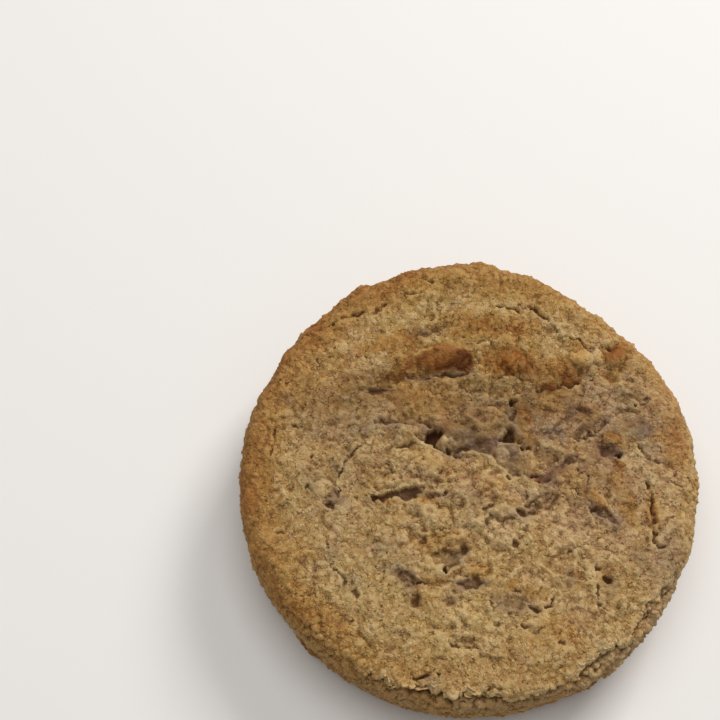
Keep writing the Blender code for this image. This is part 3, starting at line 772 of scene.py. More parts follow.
def lip_relief(points):
    """The upper crust stands out over a groove, and the side swells below the groove."""
    away, torn = past_lip(points)
    groove = ramp(GROOVE_START, GROOVE_FLOOR, away) * fall(GROOVE_FLOOR, GROOVE_END, away)
    near, _, lot = cells(warped(points, *TORN_CRUMB_WARP), TORN_CRUMB_SPACING)
    crumb = TORN_CRUMB * (TORN_CRUMB_LEAST + lot) * (2.0 * dome(near) - 1.0)
    crumb = crumb * ramp(*TORN_CRUMB_START, away) * fall(*TORN_CRUMB_END, away)
    height = LIP_RISE * bell(*LIP_CREST, away) - GROOVE_DEPTH * groove
    height = height + UNDER_SWELL * bell(*UNDER_SWELL_PLACE, away) + crumb
    # The groove's cut mark later paints the shadow under the lip dark.
    return torn * height, {"cut": GROOVE_SHADE * (torn * groove),
                           "lip": torn * bell(*LIP_MARK, away),
                           "torn": np.sqrt(torn) * ramp(*TORN_MARK, away)}


# %% Outline: direction in degrees, half-width in degrees, size
OUTLINE_CHANGES = [
    (52, 11, -0.72), (28, 12, 0.1), (88, 17, 1.15), (118, 12, 0.6), (132, 6, -0.35),
    (-40, 18, -0.25), (-58, 12, 0.45), (-88, 22, 0.15), (-140, 24, 0.1), (-106, 10, 0.3),
    (-78, 9, -0.1), (195, 16, 0.2), (156, 9, -0.45), (12, 9, 0.3),
]


def outline_change(x, y):
    """How far the outline stands out or in at each direction."""
    return sum(size * bell(0.0, spread, off_direction(x, y, middle))
               for middle, spread, size in OUTLINE_CHANGES)


# %% [markdown]
# ## Apply the relief
#
# Each point of the blank moves along its own normal by the relief of its zone. The zones
# blend, so the top rolls over into the side. The same pass notes where a point is cut deep,
# creased, mauve, torn or on the side, because the colours follow these later. Deep cuts and
# creases later get painted shade, and the mauve partly paints shade as well.

# %% Read and write a mesh as arrays
def read_vectors(mesh, name):
    values = np.empty(len(mesh.vertices) * 3)
    mesh.vertices.foreach_get(name, values)
    return values.reshape(-1, 3)


def place_vertices(mesh, points):
    mesh.vertices.foreach_set("co", points.ravel())
    mesh.update()


def write_marks(mesh, marks):
    """Store one number a point under each name, for the materials to read."""
    for name, values in marks.items():
        slot = mesh.attributes.get(name) or mesh.attributes.new(name, "FLOAT", "POINT")
        slot.data.foreach_set("value", np.ascontiguousarray(values, dtype=np.float32))


def read_mark(mesh, name):
    values = np.empty(len(mesh.vertices), dtype=np.float32)
    mesh.attributes[name].data.foreach_get("value", values)
    return values


# %% Give the blank its outline
def centred(points):
    """Centre the outline on the origin."""
    middle = (points[:, :2].max(axis=0) + points[:, :2].min(axis=0)) / 2
    return points - np.append(middle, 0.0)


points = read_vectors(blank, "co") / MM
x, y, z = points.T
share = outline_change(x, y) * np.hypot(x, y) / RIM ** 2
points[:, :2] *= 1.0 + share[:, None]
points = centred(points)
place_vertices(blank, points * MM)
normals = read_vectors(blank, "normal")

# %% Move the points
TRAY_LEVEL, FACING_DOWN, LIP_START = 0.1, -0.9, 9.0
FOOT_FADE = (0.2 * FOOT_ROUNDING, 1.4 * FOOT_ROUNDING)
CEILING, CEILING_SQUEEZE = 16.2, 0.7
x, y, z = points.T
everywhere = np.ones_like(x)
upper = ramp(SIDE_TOP, TOP_START, z)
above_foot = ramp(*FOOT_FADE, z)
height = np.zeros_like(x)
marks = {name: np.zeros_like(x) for name in ("crease", "cut", "damp", "mauve_and_shade", "lip", "torn")}
ZONES = [(upper > 0.0, upper, top_relief),
         ((upper < 1.0) & (z > TRAY_LEVEL), (1.0 - upper) * above_foot, side_relief),
         ((z < TRAY_LEVEL) & (normals[:, 2] < FACING_DOWN), everywhere, base_relief),
         (z > LIP_START, everywhere, lip_relief)]
for here, share, relief_of in ZONES:
    rise, drawn = relief_of(points[here])
    height[here] += share[here] * rise
    for name, values in drawn.items():
        marks[name][here] = np.maximum(marks[name][here], share[here] * values)
marks["side"] = 1.0 - upper
moved = points + normals * height[:, None]
ahead, strength = fold_ahead(*drawn_place(points))
moved[:, 1] -= LIP_REACH * strength * upper * bell(LIP_MIDDLE, LIP_WIDTH, ahead)
moved = centred(moved)
over = np.maximum(moved[:, 2] - CEILING, 0.0)
moved[:, 2] = np.maximum(moved[:, 2], 0.0) - CEILING_SQUEEZE * over
place_vertices(blank, moved * MM)
write_marks(blank, marks)
print("relief", round(float(moved[:, 2].max()), 2), "mm high")

# %% Thin the faces
blank.calc_loop_triangles()
thin = cookie.modifiers.new("thin", "DECIMATE")
thin.ratio = min(1.0, MOST_TRIANGLES / len(blank.loop_triangles))
crust_mesh = settle(cookie)
crust_mesh.calc_loop_triangles()
crust_mesh.shade_smooth()
print("crust", len(crust_mesh.loop_triangles), "triangles", list(crust_mesh.attributes.keys()))

# %% [markdown]
# ## Where the oven toasted it
#
# Browning follows heat, so the thin outer rim, the raised lip of the fold and the ridges next
# to the sunken middle are browner, and the hollows stayed pale and moist. These places are
# painted as numbers from 0 to 1 on the mesh itself, so that the colours stay with the relief.
# Every place is an oval: x, y, length, width, turn in degrees if any, and strength.
#
# Each mark has one job, except moist. Toast, pale, smooth and gloss say how the crust baked,
# and moist says where the crumb stayed moist and also paints shade into the bowl in front of
# the fold and where the lamp falls off. Hue runs from golden dough below 0 to rosy dough
# above it, and crumby, sandy and flaky say where loose crumbs and flakes lie.

# %% Toasted places: first the shiny tongue of crust behind the fold, then the rest
TONGUE = [
    (-3.4, 18.8, 9, 3.3, 6, 0.62), (-0.6, 18.7, 3.8, 3.1, 0.86), (-7.6, 18.1, 7, 2.3, 14, 0.45),
]
TOASTED = [
    (18, 1, 12, 12, 0.12), (18.6, 20.6, 3, 3, 0.3), (-5.6, 18.8, 13, 4.2, 8, 0.42),
    (-6, 12.5, 14, 10, 0.2), (8, 12, 20, 9, 0.12), (-9.6, 21.6, 4.4, 3.4, 0.45),
    (-13.2, 20.6, 8.6, 2.4, 8, 0.36), (10, -26.5, 13, 4, 10, 0.12), (20.6, -16.6, 3.2, 3.2, 0.24),
    (15.2, -17.4, 2.6, 3.4, 0.15), (24.6, -5, 2.2, 6.4, 0.3), (-24, 14, 8, 12, 30, 0.16),
    (-11.4, 15.9, 5, 1.5, 20, 0.5), (-15, 14.6, 6, 1.6, 12, 0.15), (7, 18.4, 7.5, 4.8, -6, 0.6),
    (6.2, 17.2, 4, 1.6, 0.62), (9.2, 16.6, 3, 1.6, 0.5), (13.2, 15, 6, 2.4, -10, 0.42),
    (13.2, 14.4, 3.4, 1.4, 0.6), (15, 17.2, 3.4, 3.6, 20, 0.45), (16.8, 15.3, 3, 1.2, 10, 0.6),
    (23, 17, 3.6, 1.4, 10, 0.25), (24.6, 20.2, 4.6, 2.8, 25, 0.65), (23, 16.2, 3, 1.2, -20, 0.45),
    (3.4, 19.6, 3, 1.8, 0.2), (3.4, 24.2, 14, 4.6, -4, 0.36), (7.6, 23.8, 4, 1.8, -20, 0.46),
    (3, 25.2, 8, 2, 0.42), (22.6, 5.9, 2.6, 1.8, 0.62), (23.3, 0.6, 2, 3, 0.62),
    (22.9, -1.4, 3, 1.8, 0.35), (28.4, -6, 1.9, 5, 0.42), (0.6, -16.2, 5.2, 2.4, 8, 0.24),
    (-2.6, -11, 7, 2.4, 0.2), (19.6, -4.8, 3.4, 2.2, -30, 0.42), (2.4, 8.4, 9, 5.6, 0.22),
    (-4.6, 0.8, 9, 4, -12, 0.12), (8.8, -19.4, 5.4, 2.2, -35, 0.15), (-8.5, -20.8, 2.2, 2.6, 0.2),
    (-4.8, -18.2, 3.4, 0.8, 4, 0.15), (6.6, -18, 3, 1.6, 0.18), (3.6, 16.9, 2.6, 1.4, 0.5),
    (11.4, 17, 3, 3, 0.4), (13.6, 11.4, 12, 6, 0.22), (3.4, -2.6, 7, 4, -20, 0.15),
    (9.4, 4.6, 3.6, 3.2, 0.2), (19.4, 9.6, 4, 4, 0.3), (-16, 19.8, 5, 2.4, 0.3),
    (-12, 13, 7, 5, 30, 0.12), (5.6, 16.8, 5, 1.4, 0.68), (-9.6, 12.6, 6, 3, 0.4),
    (9, 5, 2.4, 4, 0.3), (16.4, 18.6, 2, 2.4, 0.5), (-25.6, 16, 3, 3, 0.3), (-26, 11, 3, 3, 0.25),
    (-7, -5, 5, 1.4, 0.3), (21.6, -18, 2.6, 6, 0.12), (22.6, -2.6, 2, 2.6, 0.35),
    (10.6, -1.8, 2, 1.6, 0.4), (8.6, 9.4, 3, 5, 0.4), (-8.2, -4, 3.6, 2, 0.12),
    (-12.6, -5, 4, 1.8, 0.25), (13, -25, 7, 4, -30, 0.2), (5, 30.5, 8, 3, 0.25),
    (-7.2, -12, 2.6, 2.6, 0.3), (-20, 11.5, 14, 3, 0.12), (-3.4, 7.4, 3, 2, 0.5),
    (-28, -14, 6, 10, 20, 0.2), (-8.5, -18.2, 2, 1.6, 0.15), (-20.6, 16.5, 8, 7, 30, 0.18),
    (-1.6, 12, 2.6, 1.8, 0.2), (32.5, 5, 4, 9, 0.36), (9, 24.2, 4, 1.4, 0.3),
    (-5.6, -17.4, 3.4, 1.6, -10, 0.18), (-8.9, 6, 2.6, 2, 0.2), (4, 33.5, 16, 3, 0.3),
]

# %% Greyish moist places, partly painted shade: broad ovals over the bowl in front of the fold, along the fold's foot, and at the front left where the lamp falls off
MOIST_AND_SHADED_PLACES = [
    (-20, 8, 14, 8, 12, 0.42), (-14.5, 14.6, 7, 6, 0.45), (-12, 9, 10, 7, 0.45),
    (12, 9.4, 34, 11, -4, 0.6), (-3, 6.6, 8, 3.6, -24, 0.9), (1.8, 4.6, 6.6, 3.2, -12, 1),
    (5.4, 2.6, 6, 3, -35, 0.5), (9.4, 4.4, 4.2, 2.6, 0.75), (-4, 8.4, 4, 3, 0.55),
    (-5.8, -4.2, 6, 2, -4, 0.6), (22, 11.6, 13, 8, -10, 0.5), (27.2, 7.2, 4.6, 4.4, 0.8),
    (24.6, 6.8, 4, 3, 0.5), (4.2, 10.6, 3.6, 1.4, 0.6), (-12, 13, 8, 2.4, 4, 0.42),
    (-1.8, 16.7, 7, 1.5, -2, 0.4), (4.6, 15.3, 3, 1.4, 0.4), (-5, 23.8, 7.4, 2.6, 20, 0.12),
    (-3, -4.6, 6, 2.2, 12, 0.36), (13, -0.6, 7, 2.6, 28, 0.42), (20, 16, 5, 1.4, 0.4),
    (5.6, -20.8, 7, 3.4, -8, 0.26), (-10.5, -17, 6.4, 3.6, -40, 0.42), (-8.6, -18.2, 2.2, 2, 0.7),
    (-8.6, -20.8, 2.4, 3, 0.5), (20.2, -7.4, 6, 3, -28, 0.36), (-0.3, -18.2, 6.4, 2.2, 0.46),
    (-2.4, -13.9, 3.6, 2.6, 0.7), (22.4, 3.4, 6, 2.8, 0.5), (-12.4, -4.4, 9, 2.6, 10, 0.3),
    (-22.4, -6.4, 4, 3.6, 0.25), (-18, 2, 10, 9, 0.2), (-14, -12, 14, 14, 0.12),
    (20, 1, 14, 16, 0.36), (-4, 8, 16, 5, 0.5), (7.6, 6.5, 11, 8, 0.3), (6, 3.4, 4.4, 4, 0.9),
    (-3.4, 2.9, 5.4, 2.2, -25, 0.6), (9.2, 4.6, 3, 3.4, 0.9), (20.9, -17.2, 2.2, 4.4, 0.6),
    (7.4, 9.2, 2, 3.4, 0.7), (22.8, -2, 2.2, 3, 0.5), (-5, -4.2, 4, 2.2, 0.5),
    (-14.5, -5, 5, 1.4, 0.5), (21, 7, 3.4, 2.6, 0.7), (-20, 1, 3, 4, 0.5), (-27, 11, 3.4, 3, 0.5),
    (-13.6, -12.8, 4, 3, 0.5), (-18.4, -18, 3.4, 3.4, 0.5), (-6, -32, 5, 1.8, 0.5),
    (26, -14, 4, 4, 0.4), (7, -7.2, 5, 2, -15, 0.6), (0.6, -4.6, 2.4, 5, 10, 0.6),
    (-3.2, 6.6, 3, 2.6, 1), (22.4, -8.2, 3, 2.2, 0.6), (-18.6, -6, 4, 1.6, 0.6),
    (-18, 11.5, 20, 3.4, 0.5), (0.4, -6, 2.6, 5, 0.5), (-21, -13.5, 4, 4.4, 0.4),
    (30.5, -14, 5, 10, 0.5), (14.8, -17, 2.4, 3.2, 0.5), (-24, -2, 5, 5, 0.35),
    (-3, -20, 4, 2.6, 0.35), (-15.5, 7, 5, 3, 0.6), (-26, 11, 4, 4, 0.5), (18, 1.2, 3.6, 2.6, 0.5),
    (12.2, -2.2, 3.6, 2.6, 0.9), (-8.4, -4.2, 3.4, 2.2, 0.7), (-20.4, -5, 3.4, 2.6, 0.6),
    (22.6, -2.6, 2.4, 3, 0.4), (22.6, -8.2, 3.4, 2.4, 0.5), (14.4, 6.2, 4.4, 3.4, 0.85),
    (28.4, 3.6, 3, 3.6, 0.5), (20.4, 9.2, 4.6, 5, 0.7), (9.6, -3, 6, 4.6, -20, 0.2),
    (5, -6.6, 6, 2.4, -14, 0.34), (2.4, -7.4, 3, 3.4, 0.18), (-25.4, -4, 2.6, 2.6, 0.25),
]

# %% Pale places, where flakes and dry flour lie
PALE = [
    (-0.6, -10.2, 9, 3.6, 0.6), (-16.4, 14.4, 5, 1.6, 0.6), (-12.4, 0.4, 2.6, 2, 0.5),
    (-20.6, 1.2, 2.6, 2, 0.8), (3.6, -8, 3, 1.4, 0.7), (26.2, 2.4, 2, 3, 0.8),
    (16.6, 15.8, 2, 1.6, 0.4), (-4, -17.2, 7, 1, 0.5), (4, -11.6, 4, 2.4, -20, 0.4),
    (24, 6.6, 3, 2.4, 0.4), (5, -24, 22, 7, 0.15), (-8, -6.8, 4, 2, 0.4), (17, 18.2, 2, 2.4, 0.5),
    (12, 15.6, 2.4, 2, 0.5), (25.4, 1.6, 1.6, 3.4, 0.5), (-22, 6.6, 2.6, 2, 0.4),
    (-13.4, -16, 2.6, 2, 0.5), (2.6, 14, 3.2, 2, 0.5), (0.9, 16.4, 1.8, 4, 0.5),
    (-13.8, 17.6, 5.6, 2, 10, 0.5), (-6, 15.4, 3.6, 1.8, 0.7), (23, 18, 2.4, 1.2, 0.5),
    (15.8, -2.4, 4.4, 2.8, 0.7), (-22, -3, 3.4, 2.2, 0.6), (15, 10.4, 3, 2, 0.3),
    (12, 13, 3, 1.4, 0.3), (14, 3, 3, 2.4, 0.3), (17.7, -15.8, 2, 3.4, 0.6),
    (-16.6, 16.4, 3, 1.6, 0.5), (20.4, -4.4, 4, 2.6, -20, 0.5), (-3.6, 4.4, 2, 2, 0.8),
    (-1.5, 4.5, 2.4, 1.6, 0.5), (19.2, 19, 5.4, 3.2, 5, 0.9), (26.2, 19, 1.6, 3, 0.5),
    (21, 19.4, 3, 2.4, 0.8), (23.2, 7, 2.5, 3, 0.3), (-9.2, -32.7, 2.4, 0.7, 0.9),
    (2.4, -34.3, 3.2, 0.7, 4, 0.9), (-12.6, -34.2, 0.8, 1.2, 0.9), (7.8, -34.9, 3, 0.8, 8, 0.6),
    (8.6, -2.4, 5, 3, -20, 0.35), (3.6, -22.6, 3, 2, 0.3), (-3.9, -19.2, 1.6, 1, 0.5),
    (-18, -1.6, 4, 3, 0.2),
]

# %% Rosy and golden dough, glossy crust, and places with much loose crumb
ROSY = [
    (18, -4, 18, 18, 0.9), (28, 0, 10, 34, 0.6), (18, 25, 18, 8, -30, 0.5), (-28, -2, 8, 26, 0.3),
    (-1, -0.6, 13, 6, -12, 0.5), (0, 9, 14, 7, 0.4), (18, 9, 18, 10, 0.8), (31, 8, 6, 12, 0.9),
    (2, -10, 8, 5, 0.4), (-2, -15, 6, 3, 0.4), (14, -19, 14, 8, 30, 0.3),
    (-20, 19, 12, 8, 40, 0.4),
]
GOLDEN = [
    (0, 26, 38, 15, 0.7), (-6, -22, 34, 18, 0.6), (6, 14.5, 16, 8, 0.8), (-12, 16, 10, 5, 15, 0.6),
    (-27, -2, 8, 20, 0.4), (6.5, 7.5, 3.4, 5, 0.8),
]
GLOSSY = [
    (-3.6, 19, 9.4, 3.4, 8, 0.8), (-14.2, 15.8, 5, 1.5, 15, 0.5), (24.2, 19.8, 4, 2.4, 25, 0.5),
]
CRUMBY = [(-20, -24, 26, 12, -48, 1), (-4, -33, 26, 4, 0.8), (22, -24, 18, 5, 45, 0.5)]
print("toasted", len(TOASTED), "moist_and_shade", len(MOIST_AND_SHADED_PLACES), "pale", len(PALE), "places")

# %% The browned slope of the fold: place along it, and strength
FOLD_TOAST = [
    (-22, 0), (-17, 0.12), (-13, 0.15), (-10, 0.2), (-6, 0.3), (-2, 0.3), (0.3, 0.25), (1.2, 0.1),
    (2.8, 0.1), (4.2, 0.5), (7, 0.6), (9, 0.5), (10.5, 0.25), (12, 0.3), (14, 0.48), (16.5, 0.5),
    (18, 0.3), (19.5, 0.1), (21.5, 0.12), (23, 0.15), (25.5, 0.25), (27, 0.15), (29, 0),
]
FOLD_TOAST_MIDDLE, FOLD_TOAST_WIDTH = -1.9, 1.7
FOLD_TOAST_SWAY, FOLD_TOAST_SPACING = 0.5, 3.5


def fold_toast(x, y):
    """How brown the slope behind the fold's foot is."""
    ahead, _ = fold_ahead(x, y)
    sway = FOLD_TOAST_SWAY * wave(flat(x, y), FOLD_TOAST_SPACING)
    width = FOLD_TOAST_WIDTH * (1.0 + sway)
    return np.interp(x, *np.transpose(FOLD_TOAST)) * bell(FOLD_TOAST_MIDDLE, width, ahead, 4)


# %% Hollows and bumps
HOLLOW_ROUNDS = {"hollow": 3, "basin": 20}


def hollows(mesh, rounds):
    """How far each point lies below its neighbourhood, in millimetres."""
    edges = np.empty(len(mesh.edges) * 2, dtype=np.int64)
    mesh.edges.foreach_get("vertices", edges)
    edges = edges.reshape(-1, 2)
    ends, others = np.concatenate([edges, edges[:, ::-1]]).T
    count = len(mesh.vertices)
    shares = 1.0 / np.maximum(np.bincount(ends, minlength=count), 1)
    start = read_vectors(mesh, "co") / MM
    smooth = start
    for _ in range(rounds):
        smooth = np.column_stack([np.bincount(ends, smooth[others, axis], count) * shares
                                  for axis in range(3)])
    return ((smooth - start) * read_vectors(mesh, "normal")).sum(axis=1)


# These marks serve only the colours: hollows get painted shade and bumps get a painted highlight.
for name, rounds in HOLLOW_ROUNDS.items():
    write_marks(crust_mesh, {name: hollows(crust_mesh, rounds)})

# %% Paint the crust: how brown each part is
BASE_TOAST, BASE_BLOTCH, BASE_BLOTCH_STEP = 0.07, 0.10, (0.0, 0.8)
RIM_TOAST, RIM_TOAST_TURN, RIM_TOAST_START, RIM_BLOTCH = 0.52, 140.0, 26.5, 0.3
RIM_TOAST_USUAL, RIM_TOAST_SWING = 0.56, 0.44
PAINT_SWAYS, BLOTCH_SPACING, SPECKLE_SPACING = [(0.9, 1.6), (0.5, 0.7)], 5.5, 1.3
SPECKLES, FINE_SPECKLES, FINE_SPECKLE_SPACING = 0.4, 0.3, 0.6
WIDE_EDGE, TOAST_EDGE, TONGUE_EDGE, TONGUE_SWAY, LIP_BARE = 0.7, 0.8, 0.22, 0.4, 0.8
placed = read_vectors(crust_mesh, "co") / MM
x, y, z = placed.T
blotch = wave(placed, BLOTCH_SPACING)
speckle = wave(placed + SECOND_SHIFT, SPECKLE_SPACING)
drawn_x, drawn_y = drawn_place(placed)
soft = swayed(drawn_x, drawn_y, placed, PAINT_SWAYS, -SECOND_SHIFT)
tongue_at = [(1.0 - TONGUE_SWAY) * drawn + TONGUE_SWAY * sway
             for drawn, sway in zip((drawn_x, drawn_y), soft)]
cut, damp, lip, side, torn = (read_mark(crust_mesh, name)
                              for name in ("cut", "damp", "lip", "side", "torn"))
toward = np.cos(np.radians(off_direction(x, y, RIM_TOAST_TURN)))
rim = ramp(RIM_TOAST_START, RIM, np.hypot(x, y)) * (RIM_TOAST_USUAL + RIM_TOAST_SWING * toward)
toast = RIM_TOAST * rim * (1.0 + RIM_BLOTCH * blotch)
browned = np.maximum(painted(*soft, TOASTED, TOAST_EDGE), fold_toast(*soft))
browned = np.maximum(browned, painted(*tongue_at, TONGUE, TONGUE_EDGE))
specks = SPECKLES * speckle + FINE_SPECKLES * wave(placed, FINE_SPECKLE_SPACING)
toast = np.maximum(toast, browned * (1.0 + specks))
toast *= 1.0 - LIP_BARE * lip
toast += BASE_TOAST + BASE_BLOTCH * ramp(*BASE_BLOTCH_STEP, blotch)
print("toasted share", round(float((toast > 0.3).mean()), 3))

# %% Paint the crust: moist parts with painted shade, and pale, crumby and rosy parts
MOIST_BLOTCH, MOIST_SWAY, MOIST_SWAY_SPACING = 0.4, 0.7, 2.2
BAKED_DRY, BAKED_STEP, PALE_DRY, PALE_LIP, DEEP_STEP = 0.8, (0.5, 0.9), 0.8, 0.4, (0.3, 1.0)
MOIST_BARE, TORN_DRY, TORN_MOIST, TORN_ROSY, TORN_BARE = 0.8, 0.9, 0.36, 0.7, 0.3
USUAL_CRUMBS, CRUMB_BLOTCH, LOOSE_CRUMBS, CRUMB_RANGE = 0.6, 0.7, 0.9, (0.05, 1.6)
FOOT_BARE, SANDY_SIDE = (2.0, 4.0), 0.5
SIDE_TOAST, SIDE_BLOTCH, FOOT_TOAST, FOOT_TOAST_REACH, MOST_TOAST = 0.34, 0.8, 0.25, 6.0, 1.2
CLUMP_HUE_SPACING, CLUMP_HUE_WARP, CLUMP_HUE = 1.5, (0.5, 0.9), 0.9
PATCH_HUE_SPACING, PATCH_HUE = 4.5, 0.7
# The moist mark greys moist crumb and also paints shade into the bowl in front of the fold and
# where the lamp falls off at the front left.
moist_and_shade = np.maximum(painted(*soft, MOIST_AND_SHADED_PLACES, WIDE_EDGE), damp)
patches = MOIST_BLOTCH * blotch + MOIST_SWAY * wave(placed, MOIST_SWAY_SPACING)
moist_and_shade = moist_and_shade * (1.0 - BAKED_DRY * ramp(*BAKED_STEP, toast)) * (1.0 + patches)
pale = np.maximum(painted(*soft, PALE), PALE_LIP * lip)
moist_and_shade = np.clip(moist_and_shade * (1.0 - PALE_DRY * pale), 0.0, 1.0)
top_only = 1.0 - side
smooth = painted(*soft, SMOOTH)
dry = (1.0 - MOIST_BARE * moist_and_shade) * (1.0 - smooth) * fall(*DEEP_STEP, cut)
dry = np.maximum(dry, TORN_DRY * torn)
loose = np.maximum(painted(drawn_x, drawn_y, CRUMBY), torn)
crumby = np.clip(USUAL_CRUMBS + CRUMB_BLOTCH * blotch + LOOSE_CRUMBS * loose, *CRUMB_RANGE)
crumby = crumby * ramp(*FOOT_BARE, z) * dry
side_toast = SIDE_TOAST * (1.0 + SIDE_BLOTCH * blotch)
side_toast = side_toast + FOOT_TOAST * fall(0.0, FOOT_TOAST_REACH, z)
_, _, lots = cells(warped(placed, *CLUMP_HUE_WARP), CLUMP_HUE_SPACING)
hue = PATCH_HUE * wave(placed - SECOND_SHIFT, PATCH_HUE_SPACING) + CLUMP_HUE * (lots - 0.5)
hue = hue + painted(*soft, ROSY, TOAST_EDGE) - painted(*soft, GOLDEN, TOAST_EDGE)
side_toast = side * side_toast * (1.0 - TORN_BARE * torn)
write_marks(crust_mesh, {
    "hue": hue + TORN_ROSY * torn,
    "toast": np.clip(toast, 0.0, MOST_TOAST) * top_only + side_toast,
    "moist_and_shade": np.maximum(moist_and_shade * top_only, TORN_MOIST * torn),
    "smooth": smooth * top_only,
    "gloss": painted(*soft, GLOSSY) * top_only,
    "crumby": crumby,
    "sandy": crumby * (SANDY_SIDE + (1.0 - SANDY_SIDE) * ramp(SIDE_TOP, TOP_START, z)),
    "flaky": lip ** 2,
    "pale": pale,
})
print("moist share", round(float((moist_and_shade > 0.3).mean()), 3))

# %% [markdown]
# ## Colours of the crumb
#
# Four shader groups carry what every piece of this cookie shares: the grain of the crumb,
# its clumps, the scale from pale dough to burnt crust, and the grey-mauve of moist crumb
# with the painted shade of moist, mauve and deep places.
# The pieces then differ only in the numbers that they feed in.

# %% Shader helpers
def linear(red, green, blue):
    """A screen colour from 0 to 255 as the linear colour that shaders use."""
    shares = [value / 255.0 for value in (red, green, blue)]
    return tuple(s / 12.92 if s <= 0.04045 else ((s + 0.055) / 1.055) ** 2.4
                 for s in shares) + (1.0,)


def mixed(tree, factor, first, second, blend="MIX"):
    """One colour laid over another."""
    return add(tree, "ShaderNodeMix", {0: factor, 6: first, 7: second},
               data_type="RGBA", blend_type=blend)[2]


def stepped(tree, value, low, high, start=0.0, end=1.0):
    """Smooth step of a value between two limits."""
    return add(tree, "ShaderNodeMapRange", dict(enumerate((value, low, high, start, end))),
               interpolation_type="SMOOTHSTEP")[0]


def noise_at(tree, vector, scale, detail=2.0, roughness=0.5):
    return add(tree, "ShaderNodeTexNoise", {"Vector": vector, "Scale": scale, "Detail": detail,
                                            "Roughness": roughness})[0]


def mark(tree, name):
    return add(tree, "ShaderNodeAttribute", attribute_name=name)["Fac"]


def use_group(tree, group, values):
    return add(tree, "ShaderNodeGroup", values, node_tree=group)


# %% The grain of the crumb
FLECK_CELLS, LUCK_PATCHES, LUCK_SHARE = 0.8, 0.22, 0.6
GLINT_EDGE, GLINT_LOTS, DARK_EDGE, DARK_LOTS = (0.42, 0.2), (0.96, 1.06), (0.36, 0.16), (0.72, 0.8)
CRACK_WIDTH, CRACK_BENDS, CRACK_LENGTHS, CRACK_PIECES = (0.04, 0.012), 0.4, 0.55, (0.5, 0.6)


def grain_group():
    """Pale flecks that are partly painted glints, dark flecks, short cracks and a height, at the
    size of sugar grains. Each fleck is a cell that drew a lucky lot, and each crack follows a
    level line of a noise."""
    tree, given, out = new_tree(
        "crumb_grain", SHADER, [("Place", "Vector"), ("Grain size", "Float", 0.0004)],
        [(name, "Float") for name in ("Light", "Dark", "Cracks", "Tone", "Height")])
    scale = worked(tree, "DIVIDE", 1.0, given["Grain size"])

    def noise_of(share, detail=1.0, roughness=0.5):
        return noise_at(tree, given["Place"], times(tree, scale, share), detail, roughness)

    cell = add(tree, "ShaderNodeTexVoronoi", {"Vector": given["Place"],
                                              "Scale": times(tree, scale, FLECK_CELLS)})
    near = cell["Distance"]
    lot = add(tree, "ShaderNodeSeparateColor", {0: cell["Color"]})
    lucky = worked(tree, "ADD", lot[0], times(tree, noise_of(LUCK_PATCHES, 2.0), LUCK_SHARE))
    aside = worked(tree, "ABSOLUTE", minus(tree, noise_of(CRACK_BENDS), 0.5))
    give(tree, {
        "Light": times(tree, stepped(tree, near, *GLINT_EDGE), stepped(tree, lucky, *GLINT_LOTS)),
        "Dark": times(tree, stepped(tree, near, *DARK_EDGE), stepped(tree, lot[1], *DARK_LOTS)),
        "Cracks": times(tree, stepped(tree, aside, *CRACK_WIDTH),
                        stepped(tree, noise_of(CRACK_LENGTHS), *CRACK_PIECES)),
        "Tone": lot[2],
        "Height": minus(tree, noise_of(1.0, 3.0, 0.6), times(tree, near, 0.5))}, out)
    return tree


# %% The clumps of the crumb
CLUMP_SWIRLS, CLUMP_CELLS, BORDER_BREAKS = 0.9, 0.85, 0.6
BORDER_WIDTH, BORDER_PIECES = (0.08, 0.01), (0.46, 0.6)


def clump_group():
    """Clumps of crumb: thin, broken brown lines between them, and a tone for each clump."""
    tree, given, out = new_tree(
        "crumb_clumps", SHADER, [("Place", "Vector"), ("Clump size", "Float", 0.0014)],
        [("Cracks", "Float"), ("Tone", "Float")])
    place, size = given["Place"], given["Clump size"]
    scale = worked(tree, "DIVIDE", 1.0, size)
    swirl = add(tree, "ShaderNodeTexNoise", {"Vector": place,
                                             "Scale": times(tree, scale, CLUMP_SWIRLS)})
    bent = add(tree, "ShaderNodeVectorMath", {
        0: swirl["Color"], 1: vector_of(tree, size, size, size), 2: place},
        operation="MULTIPLY_ADD")[0]
    cell_at = {"Vector": bent, "Scale": times(tree, scale, CLUMP_CELLS)}
    border = add(tree, "ShaderNodeTexVoronoi", cell_at, feature="DISTANCE_TO_EDGE")["Distance"]
    lot = add(tree, "ShaderNodeSeparateColor",
              {0: add(tree, "ShaderNodeTexVoronoi", cell_at)["Color"]})
    breaks = noise_at(tree, place, times(tree, scale, BORDER_BREAKS))
    broken = stepped(tree, breaks, *BORDER_PIECES)
    give(tree, {"Cracks": times(tree, stepped(tree, border, *BORDER_WIDTH), broken),
                "Tone": lot[2]}, out)
    return tree


# %% From pale dough to burnt crust
# The pale and dark dough colours also serve as painted highlight and painted shade.
PALE_DOUGH_AND_HIGHLIGHT, DOUGH_TAN, DARK_DOUGH_AND_SHADE = linear(213, 188, 140), linear(173, 139, 86), linear(96, 64, 24)
DOUGH_ROSY, DOUGH_OLIVE = linear(181, 146, 112), linear(172, 141, 78)
DOUGH_RUSTY, DOUGH_CREAM = linear(174, 124, 74), linear(195, 175, 125)
DOUGH_WARM, DOUGH_GREEN = linear(184, 136, 96), linear(164, 146, 84)
TOAST_STEPS = [(0.0, DOUGH_TAN), (0.35, linear(158, 115, 57)), (0.7, linear(134, 80, 27)),
               (1.05, linear(88, 42, 8))]
TOAST_OVERLAP = 0.05


